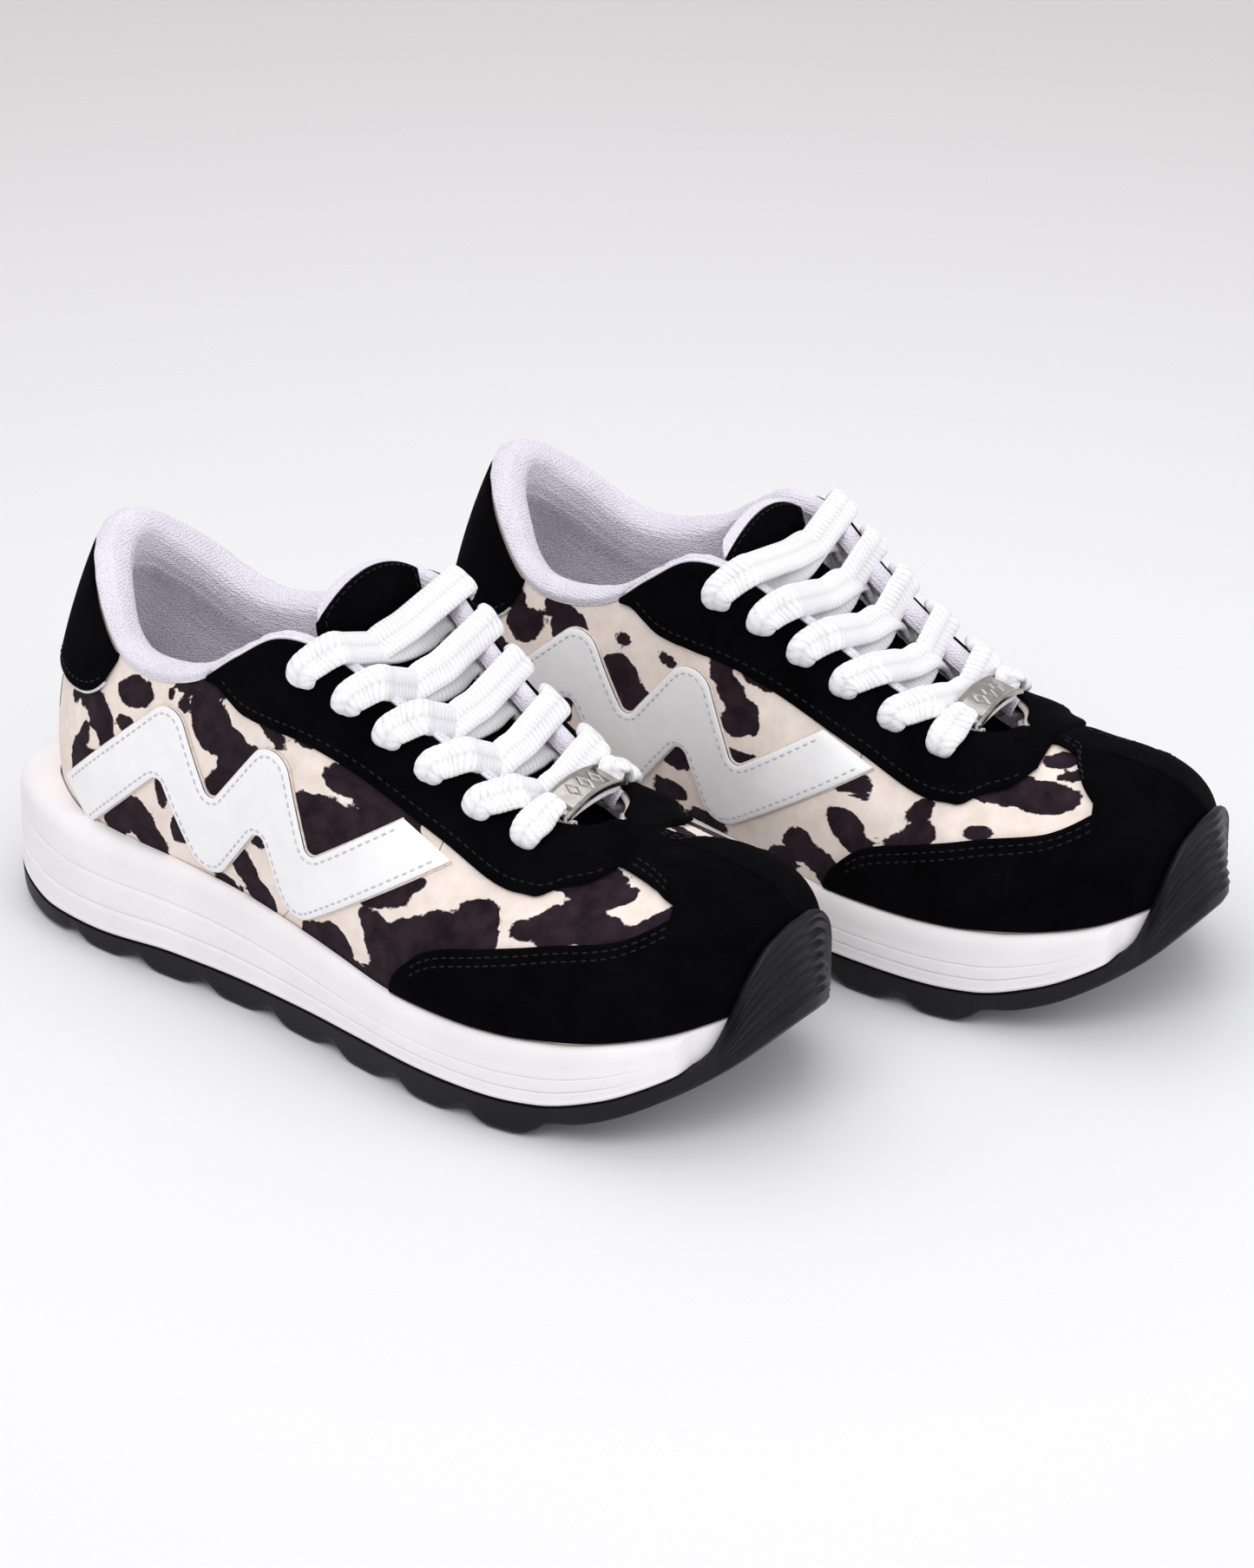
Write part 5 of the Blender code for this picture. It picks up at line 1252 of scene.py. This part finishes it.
def collar_lining(shoe):
    """Terry that rolls over the collar's top edge and runs down inside, finely ribbed."""
    rows = np.linspace(-COLLAR_END, COLLAR_END, COLLAR_ROWS)
    grid = np.array([collar_points(q) for q in rows])
    normal = unit(np.cross(np.gradient(grid, axis=0), np.gradient(grid, axis=1)))
    if normal[COLLAR_PROBE][0] < 0:
        normal = -normal
    down = np.concatenate([np.zeros((len(rows), 1)),
                           np.cumsum(np.linalg.norm(np.diff(grid, axis=1), axis=2), axis=1)], axis=1)
    ends = np.minimum(1, (COLLAR_END - np.abs(rows)) / 0.3)[:, None]
    puff = 0.5 * np.sin(down / 9.0 + 0.8 * np.sin(rows * 1.7)[:, None]) * smooth_step(6, 14, down)
    rib = 0.13 * np.cos(2 * math.pi * down / KNIT_RIB) * smooth_step(4, 9, down)
    pucker = 0.22 * np.sin(rows * 14)[:, None] * np.exp(-((down - 3.2) / 1.4) ** 2)
    grid = grid + normal * ((puff * 0.6 + rib + pucker) * ends)[..., None]
    verts = shoe.world(grid.reshape(-1, 3))
    made = make_mesh(f"{shoe.name}_collar_terry", verts, grid_faces(*grid.shape[:2]), TERRY, angle=80)
    point_out(made, shoe, grid[COLLAR_PROBE], normal[COLLAR_PROBE])
    grow(made, 0.8, made.name)
    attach(made, shoe.body)
    stand_in(shoe, "collar_lining")


def vamp_lining(shoe):
    """The lining of the front, under the printed fabric."""
    rows = np.linspace(12.0, LAST_ROW, 60)
    t = np.broadcast_to(np.linspace(0.05, 1, 30), (60, 30))
    grids = [grid_at(side * rows, t) for side in (-1, 1)]
    cover(shoe, "toe_lining", grids, -4.2, 0.9, TERRY, 0.0, "vamp_lining")


# ---------------------------------------------------------------- the tongue

# The tongue, from its sewn end up: (x, height, half width).
TONGUE_STATIONS = [(207, 67.5, 17), (197, 70, 18), (186, 72.5, 20), (165, 81.5, 22), (142, 94, 24),
                   (128, 103.5, 24), (118.5, 111, 23.5)]
# Its free end: (share of the rise to the top, lean, half width).
TONGUE_TOP = [(0.5, -2.5, 24.0), (0.85, -4.0, 24.0), (1.0, -4.0, 23.0)]
TONGUE_DROP = 8.3
PAD_SHARE = 0.93
TONGUE_TOPS = {"right": 129, "left": 124}
TONGUE_ROWS = 110
TONGUE_COLUMNS = 61
TONGUE_MIDDLE = 30
FIRST_STITCH_ROW = 40
STITCH_COLUMN = 4


def tongue_grid(shoe):
    """The tongue's face: (rows, columns) of points and their outward normals."""
    stations = list(TONGUE_STATIONS)
    x, z, _ = stations[-1]
    rise = TONGUE_TOPS[shoe.name] - z
    stations += [(x + lean, z + share * rise, half) for share, lean, half in TONGUE_TOP]
    stations = np.array(stations, float)
    knots = np.arange(len(stations), dtype=float)
    slopes = np.gradient(stations, axis=0)
    fine = hermite(knots, stations, np.linspace(0, knots[-1], TONGUE_ROWS), slopes)
    across = np.linspace(-1, 1, TONGUE_COLUMNS)
    grid = np.stack([np.broadcast_to(fine[:, 0:1], (TONGUE_ROWS, TONGUE_COLUMNS)),
                     centre_y(fine[:, 0])[:, None] + across * fine[:, 2:3],
                     fine[:, 1:2] - TONGUE_DROP * across ** 2], axis=-1)
    normal = unit(np.cross(np.gradient(grid, axis=0), np.gradient(grid, axis=1)))
    if normal[20, TONGUE_MIDDLE, 2] < 0:
        normal = -normal
    return grid, normal


def tongue_pad(shoe, grid, normal, border):
    """The padded terry back: thin at its border, full in the middle, finely ribbed."""
    crown = 1 - np.exp(-border / 4.5)
    middle = grid[:, TONGUE_MIDDLE:TONGUE_MIDDLE + 1]
    shrunk = middle + PAD_SHARE * (grid - middle)
    outer = shrunk - normal * 1.5
    inner = shrunk - normal * (1.9 + 4.6 * crown[..., None])
    ribs = 0.14 * np.cos(np.arange(TONGUE_ROWS) * 2 * math.pi / 1.9)[:, None]
    inner = inner - normal * ribs[..., None] * crown[..., None]
    verts = shoe.world(np.vstack([outer.reshape(-1, 3), inner.reshape(-1, 3)]))
    numbers = np.arange(TONGUE_ROWS * TONGUE_COLUMNS).reshape(TONGUE_ROWS, TONGUE_COLUMNS)
    sheet = grid_faces(TONGUE_ROWS, TONGUE_COLUMNS)
    faces = sheet + grid_faces(TONGUE_ROWS, TONGUE_COLUMNS, start=numbers.size)
    loop = np.concatenate([numbers[0], numbers[1:, -1], numbers[-1, -2::-1], numbers[-2:0:-1, 0]]).tolist()
    for a, b in zip(loop, loop[1:] + loop[:1]):
        faces.append((a, b, b + numbers.size, a + numbers.size))
    return make_mesh(f"{shoe.name}_tongue_terry", verts, faces, TERRY, angle=70)


def tongue_route(points):
    """The row of points where the tongue is stitched: up one side, across the top and down."""
    row, column = FIRST_STITCH_ROW, STITCH_COLUMN
    return np.vstack([points[row:-4, column], points[-5, column:-column],
                      points[-5:row - 1:-1, -column - 1]])


def tongue(shoe):
    """The suede face of the tongue, its padded back and its stitches, on the tongue's own body."""
    grid, normal = tongue_grid(shoe)
    columns = np.arange(TONGUE_COLUMNS)
    border = np.minimum(np.minimum(columns, columns[::-1])[None, :] * 0.75,
                        np.arange(TONGUE_ROWS)[::-1, None] * 0.9)
    top = grid - normal * np.exp(-border / 0.8)[..., None]
    face = make_mesh(f"{shoe.name}_tongue_suede", shoe.world(top.reshape(-1, 3)),
                     grid_faces(TONGUE_ROWS, TONGUE_COLUMNS), SUEDE, angle=60)
    point_out(face, shoe, grid[60, TONGUE_MIDDLE], normal[60, TONGUE_MIDDLE])
    grow(face, 1.2, face.name)
    pad = tongue_pad(shoe, grid, normal, border)
    points, ups = resample(tongue_route(top), tongue_route(normal), STITCH_PITCH)
    seam_row = stitches(shoe, "tongue_stitches", points, ups, THREAD, STITCH_LENGTH, 0.24)
    for made in (face, pad, seam_row):
        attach(made, f"{shoe.name}_tongue_body")
    stand_in(shoe, "tongue")
    stand_in(shoe, "tongue_lining")


# ---------------------------------------------------------------- lace and tag

# Rows of the eyelets, from the toe end to the top.
EYELET_ROWS = [11.1, 10.33, 9.65, 9.05, 8.45, 7.8]
EYELET_DEPTH = 9.0
LACE_OVER = 3.9
LACE_UNDER = -7.4
HOLE_LACE = 4.4
CROSSING_WIDTH = 10.4
CROSSING_THICKNESS = 3.2
CROSSING_LOW = 2.0
CROSSING_HIGH = 6.6
# Where each lace end is tucked in: (row, depth below the top edge, lift).
TAIL = [(7.8, 15, -8.0), (7.8, 20, -8.6), (7.8, 25, -9.4)]
AGLET_LENGTH = 12.0
AGLET_RADIUS = 1.7
AGLET_GAP = 0.4
AGLET_LEVEL = (0.13, 0.05, 1.0)
AGLET_END = 0.7
TAG_CENTRE = (190.5, 2.9, 82.8)
TAG_SLOPE = 0.24
TAG_ARCH = 3.0
TAG_HALF_LENGTH = 15.2
TAG_HALF_WIDTH = 5.0
TAG_SLOT = (11.0, 14.2)
TAG_SLOT_HALF = 4
TAG_CORNER = 1.6
TAG_FACE = 0.6
DIAMOND_PLACES = (-5.0, 0.0, 5.0)
DIAMOND_HALF = 1.9
# Stops of the lace on either side of the plate: (across, lift, width, thickness).
BAR_STOPS = [(7.5, -2.9, 7.8, 2.6), (11.2, -2.5, 7.4, 2.2), (12.6, 0.2, 7.6, 1.9),
             (13.9, 3.0, 8.0, 2.2), (15.6, 3.4, 8.6, 2.6)]
LEAVE_SHARE = 0.12
REACH_SHARE = 0.38
TURN_SHARE = 0.18
TURN_DEPTH = 3.4
FAR_PLUMP = 0.8
LACE_STEP = 0.42
BRAID_SWELL = 0.22
BRAID_PITCH = 1.7
LACE_SIDES = 28


def eyelet(side, number):
    q = side * EYELET_ROWS[number]
    return q, height_below_top(q, EYELET_DEPTH)


def tongue_height(x, y):
    stations = TONGUE_STATIONS[::-1]
    middle = np.interp(x, [row[0] for row in stations], [row[1] for row in stations])
    half = np.interp(x, [row[0] for row in stations], [row[2] for row in stations])
    return middle - TONGUE_DROP * ((y - centre_y(x)) / half) ** 2


def dive(side, number, plump):
    """Stops of the lace over an eyelet's edge, down through it and back under the edge.

    Each stop is a point, the way the lace's flat side faces, its width and its thickness.
    """
    q, t = eyelet(side, number)
    normal = surface_normals(q, t)
    away = unit(surface(q, t - 0.03) - surface(q, t))
    turn = q + side * TURN_SHARE * (EYELET_ROWS[number - 1] - EYELET_ROWS[number]) if number else q
    turn_up = surface_normals(turn, height_below_top(turn, TURN_DEPTH))
    return [
        (at_top(turn, LACE_OVER * plump, TURN_DEPTH), turn_up, 10.2, 3.6),
        (surface(q, t, 4.6 * plump) - 0.6 * away, normal + 0.25 * away, 9.4, 3.9),
        (surface(q, t, 3.2 * plump) + 1.3 * plump * away, 0.7 * normal + away, 8.4, 4.2),
        (surface(q, t, 0.4) + 0.6 * away, away - 0.1 * normal, 4.8, 4.4),
        (surface(q, t, -4.4), away - 0.2 * normal, HOLE_LACE, HOLE_LACE),
        (surface(q, t, -7.6) - 2.0 * away, 0.4 * away - normal, 5.0, 2.6),
    ]


def crossing(side, number):
    """Stops from under one edge, over the tongue and up over the far edge one eyelet higher."""
    here, above = EYELET_ROWS[number], EYELET_ROWS[number + 1]
    leave = side * (here + LEAVE_SHARE * (above - here))
    reach = -side * (above + REACH_SHARE * (here - above))
    start = at_top(leave, LACE_UNDER, 0.8)
    end = at_top(reach, LACE_OVER + 0.6, -0.8)
    start_up = surface_normals(leave, 1.0)
    end_up = surface_normals(reach, 1.0)
    rise = CROSSING_HIGH if side < 0 else CROSSING_LOW
    stops = [(start, start_up, 6.4, 2.4)]
    for share in (0.27, 0.48):
        point = start + share * (end - start)
        point[2] = tongue_height(point[0], point[1]) + rise
        stops.append((point, start_up * (1 - share) + end_up * share, CROSSING_WIDTH, CROSSING_THICKNESS))
    for share in (0.4, 0.75):
        stops.append((point + share * (end - point), end_up, CROSSING_WIDTH, CROSSING_THICKNESS))
    return stops + [(end, end_up, 10.4, 3.4)]


def tag_point(along_tag, across_tag, lift):
    """Points of the arched plate, at places along and across the shoe from its centre."""
    x, y, z = TAG_CENTRE
    height = z - TAG_SLOPE * along_tag - TAG_ARCH * (across_tag / TAG_HALF_LENGTH) ** 2
    return np.stack([x + along_tag, y + across_tag, height + lift], axis=-1)


def lace_half(side, loose_side):
    """Rows from the tag out to one tucked end: point, facing direction, width and thickness."""
    rows = []
    facing = 1
    stops = [(tag_point(0, side * across, lift), np.array([TAG_SLOPE, 0, 1]), width, thick)
             for across, lift, width, thick in BAR_STOPS]
    for number in range(len(EYELET_ROWS)):
        plump = 1.0 if side == loose_side else FAR_PLUMP
        for point, up, wide, thick in stops + dive(side, number, plump):
            rows.append(np.concatenate([point, facing * up, [wide, thick]]))
        facing = -facing
        if number + 1 < len(EYELET_ROWS):
            stops = crossing(side, number)
            side = -side
    for row, depth, lift in TAIL:
        normal = surface_normals(side * row, height_below_top(side * row, depth))
        rows.append(np.concatenate([at_top(side * row, lift, depth), facing * normal, [4.0, 2.6]]))
    return rows


def lace_rows(loose_side):
    """The whole lace; it stands fuller over the eyelets of the loose side."""
    middle = np.concatenate([tag_point(0, 0, -2.8), [TAG_SLOPE, 0, 1, 8.6, 2.6]])
    return np.array(lace_half(-1, loose_side)[::-1] + [middle] + lace_half(1, loose_side))


def lace(shoe):
    """The fat flat lace as one braided tube along its whole route."""
    rows = lace_rows(1 if shoe.mirrored else -1)
    knots = run_lengths(rows[:, :3])
    slopes = np.gradient(rows, knots, axis=0)
    count = int(knots[-1] / LACE_STEP)
    at = np.linspace(0, knots[-1], count)
    fine = hermite(knots, rows, at, slopes)
    points = fine[:, :3]
    for _ in range(3):
        points[1:-1] = 0.25 * points[:-2] + 0.5 * points[1:-1] + 0.25 * points[2:]
    runs = unit(np.gradient(points, axis=0))
    across = unit(np.cross(runs, fine[:, 3:6]))
    up = unit(np.cross(across, runs))
    angles = 2 * math.pi * np.arange(LACE_SIDES) / LACE_SIDES
    flat = np.sign(np.cos(angles)) * np.abs(np.cos(angles)) ** 0.8
    thick = np.sign(np.sin(angles)) * np.abs(np.sin(angles)) ** 0.75
    width, depth = fine[:, 6:7] / 2, fine[:, 7:8] / 2
    lengths = run_lengths(points)[:, None]
    chevron = lengths / BRAID_PITCH + 0.9 * np.abs(flat)
    strands = 0.35 + 0.65 * np.abs(np.sin(2.5 * math.pi * flat)) ** 0.6
    weave_and_groove_shade = np.abs(np.sin(math.pi * chevron)) ** 0.7 * strands
    swell = BRAID_SWELL * weave_and_groove_shade
    grid = (points[:, None] + (flat * (width + 0.5 * swell))[..., None] * across[:, None]
            + (thick * (depth + swell))[..., None] * up[:, None])
    faces = grid_faces(count, LACE_SIDES, closed_columns=True) + end_caps(count, LACE_SIDES)
    made = make_mesh(f"{shoe.name}_lace_braid", shoe.world(grid.reshape(-1, 3)), faces, BRAID, angle=80)
    # The braid's relief also goes to its material, which paints shade into the grooves between the strands.
    attribute = made.data.attributes.new("weave_and_groove_shade", "FLOAT", "POINT")
    attribute.data.foreach_set("value", weave_and_groove_shade.reshape(-1).astype(np.float32))
    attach(made, shoe.body)
    stand_in(shoe, "lace")
    for name, end, before in (("outer", points[0], points[3]), ("inner", points[-1], points[-4])):
        run = unit(end - before)
        tip = np.array([end + run * (AGLET_GAP + AGLET_LENGTH * share) for share in np.linspace(0, 1, 12)])
        aglet = tube(shoe, f"aglet_sleeve_{name}", tip, AGLET_RADIUS, AGLET, 18, AGLET_LEVEL, AGLET_END)
        stand_in(shoe, f"aglet_{name}")


def tag_height(u, v):
    """Relief of the tag's face: a rolled rim, a shallow field and a plain diamond row."""
    edge = np.minimum(TAG_HALF_WIDTH - np.abs(u), TAG_HALF_LENGTH - np.abs(v))
    relief = 0.32 * np.exp(-((edge - 0.55) / 0.42) ** 2)
    for centre in DIAMOND_PLACES:
        diamond = DIAMOND_HALF - (np.abs(u) * 0.62 + np.abs(v - centre))
        relief = relief - 0.28 * smooth_step(-0.25, 0.25, diamond) * (1 - smooth_step(0.35, 0.75, diamond))
    return relief


def open_edges(faces):
    """Edges that only one face uses."""
    uses = {}
    for face in faces:
        for a, b in zip(face, face[1:] + face[:1]):
            uses[frozenset((a, b))] = uses.get(frozenset((a, b)), 0) + 1
    return [tuple(edge) for edge, times in uses.items() if times == 1]


def lace_tag(shoe):
    """The metal plate on the lowest bar, with a slot near each end for the lace."""
    v = np.unique(np.concatenate([np.linspace(-TAG_HALF_LENGTH, TAG_HALF_LENGTH, 105),
                                  [-TAG_SLOT[1], -TAG_SLOT[0], TAG_SLOT[0], TAG_SLOT[1]]]).round(3))
    u = np.unique(np.concatenate([np.linspace(-TAG_HALF_WIDTH, TAG_HALF_WIDTH, 41),
                                  [-TAG_SLOT_HALF, TAG_SLOT_HALF]]).round(3))
    vv, uu = np.meshgrid(v, u, indexing="ij")
    top = tag_sheet(uu, vv, TAG_FACE + tag_height(uu, vv))
    bottom = tag_sheet(uu, vv, np.full(uu.shape, -TAG_FACE))
    count = uu.size
    faces = []
    for face in grid_faces(len(v), len(u)):
        i, j = divmod(face[0], len(u))
        middle_v, middle_u = abs(v[i] + v[i + 1]) / 2, abs(u[j] + u[j + 1]) / 2
        if not (TAG_SLOT[0] < middle_v < TAG_SLOT[1] and middle_u < TAG_SLOT_HALF):
            faces.append(face)
    solid = faces + [tuple(i + count for i in face) for face in faces]
    solid += [(a, b, b + count, a + count) for a, b in open_edges(faces)]
    points = np.vstack([top.reshape(-1, 3), bottom.reshape(-1, 3)])
    made = make_mesh(f"{shoe.name}_lace_plate", shoe.world(points), solid, NICKEL, angle=35)
    loose = bmesh.new()
    loose.from_mesh(made.data)
    bmesh.ops.delete(loose, geom=[vert for vert in loose.verts if not vert.link_faces], context="VERTS")
    loose.to_mesh(made.data)
    loose.free()
    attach(made, shoe.body)
    stand_in(shoe, "lace_tag")


def tag_sheet(u, v, lift):
    """Points of one face of the plate, with its corners pulled in to a round."""
    corner = np.hypot(np.maximum(np.abs(u) - TAG_HALF_WIDTH + TAG_CORNER, 0),
                      np.maximum(np.abs(v) - TAG_HALF_LENGTH + TAG_CORNER, 0))
    pull = np.where(corner > TAG_CORNER, TAG_CORNER / np.maximum(corner, 1e-6), 1.0)
    inner_u = np.sign(u) * np.minimum(np.abs(u), TAG_HALF_WIDTH - TAG_CORNER)
    inner_v = np.sign(v) * np.minimum(np.abs(v), TAG_HALF_LENGTH - TAG_CORNER)
    return tag_point(inner_u + (u - inner_u) * pull, inner_v + (v - inner_v) * pull, lift)


# ---------------------------------------------------------------- piping

PIPING_ROWS = (5.4, 11.5)


def opening_piping(shoe):
    """The pale folded edge that shows inside the lace panel on both sides."""
    for side, label in SIDES:
        rows = np.linspace(*PIPING_ROWS, 150)
        tops = surface(side * rows, np.ones(len(rows)), 0.35)
        points = controls(side * rows)
        rise = unit(points[:, 3] - points[:, 2])
        tube(shoe, f"piping_{label}", tops + 0.15 * rise, 0.75, PIPING, 10)


# ---------------------------------------------------------------- stage, light and camera

CAMERA_PLACE = (890.34, -987.60, 694.63)
CAMERA_YAW = 124.68
CAMERA_DOWN = 26.76
CAMERA_ROLL = 1.09
LENS = 110.25
SENSOR = 36.0
FLOOR_REACH = 6.0


def camera(shoe):
    """The photograph's camera, placed in the right shoe's frame."""
    data = bpy.data.cameras.new("camera")
    data.lens = LENS
    data.sensor_width = SENSOR
    data.sensor_height = SENSOR
    data.sensor_fit = "VERTICAL"
    data.clip_start = 0.05
    data.clip_end = 20
    made = bpy.data.objects.new("camera", data)
    bpy.context.scene.collection.objects.link(made)
    yaw, down, roll = (math.radians(a) for a in (CAMERA_YAW, CAMERA_DOWN, CAMERA_ROLL))
    forward = Vector((math.cos(yaw) * math.cos(down), math.sin(yaw) * math.cos(down), -math.sin(down)))
    level = Vector((math.sin(yaw), -math.cos(yaw), 0))
    over = level.cross(forward)
    right = level * math.cos(roll) + over * math.sin(roll)
    up = -level * math.sin(roll) + over * math.cos(roll)
    turn = Matrix((right, up, -forward)).transposed().to_4x4()
    made.matrix_world = Matrix.Translation(Vector(shoe.world(CAMERA_PLACE))) @ turn
    bpy.context.scene.camera = made


def floor():
    """A pale floor with a painted fall-off of light: a little darker far from the shoes."""
    mesh = bpy.data.meshes.new("floor")
    corners = [(-1, -1), (1, -1), (1, 1), (-1, 1)]
    mesh.from_pydata([(x * FLOOR_REACH, y * FLOOR_REACH, 0) for x, y in corners], [], [(0, 1, 2, 3)])
    made, tree, shader = plain("pale_floor", 0.5, specular=0.15)
    coords = add(tree, "ShaderNodeTexCoord").outputs["Object"]
    # Painted light: the colour runs from pale near the shoes to darker far off, as a fall-off of light, with
    # a faint random mottle.
    reach = add(tree, "ShaderNodeVectorMath", {0: coords}, operation="LENGTH").outputs["Value"]
    cloud = noise(tree, 2.0, 2)
    blend = added(tree, ranged(tree, reach, 0.0, 1.0, 0.2, 1.1), ranged(tree, cloud, -0.05, 0.05))
    paint(tree, shader, blend, [(0.1, (0.80, 0.80, 0.81)), (0.8, (0.66, 0.635, 0.63))])
    mesh.materials.append(made)
    link("floor", mesh)


def area_light(name, place, aim, size, power):
    data = bpy.data.lights.new(name, "AREA")
    data.shape = "RECTANGLE"
    data.size, data.size_y = size
    data.energy = power
    made = bpy.data.objects.new(name, data)
    bpy.context.scene.collection.objects.link(made)
    made.location = place
    made.rotation_mode = "QUATERNION"
    made.rotation_quaternion = (Vector(aim) - Vector(place)).to_track_quat("-Z", "Y")


def lights():
    """Soft studio light: a pale world and three large area lights."""
    bpy.context.scene.view_settings.view_transform = "Standard"
    world = bpy.data.worlds.new("studio")
    bpy.context.scene.world = world
    world.use_nodes = True
    back = world.node_tree.nodes["Background"]
    back.inputs["Color"].default_value = (0.97, 0.97, 1.0, 1)
    back.inputs["Strength"].default_value = 0.70
    area_light("key_light", (0.4, -1.3, 1.7), (0, 0, 0.05), (1.6, 1.2), 18)
    area_light("side_light", (1.6, 0.5, 1.0), (0, 0, 0.05), (1.0, 1.0), 8)
    area_light("top_light", (-0.5, 0.4, 1.8), (0, 0, 0), (1.6, 1.6), 8)


# ---------------------------------------------------------------- build

def build(shoe):
    """Every visible piece of one shoe; the hidden CAD pieces only get a finish."""
    fabric_panels(shoe)
    eyestay(shoe)
    toe_cap(shoe)
    heel_tab(shoe)
    zigzag(shoe, "band_outer", -1)
    zigzag(shoe, "band_inner", 1)
    outsole(shoe)
    midsole(shoe)
    insole(shoe)
    collar_lining(shoe)
    vamp_lining(shoe)
    tongue(shoe)
    lace(shoe)
    lace_tag(shoe)
    opening_piping(shoe)
    for node, finish in HIDDEN.items():
        kept = frame["nodes"][f"{shoe.name}_{node}"]
        kept.data.materials.clear()
        kept.data.materials.append(finish)


SHOES = [Shoe("right", False), Shoe("left", True)]
camera(SHOES[0])
for each in SHOES:
    build(each)
floor()
lights()
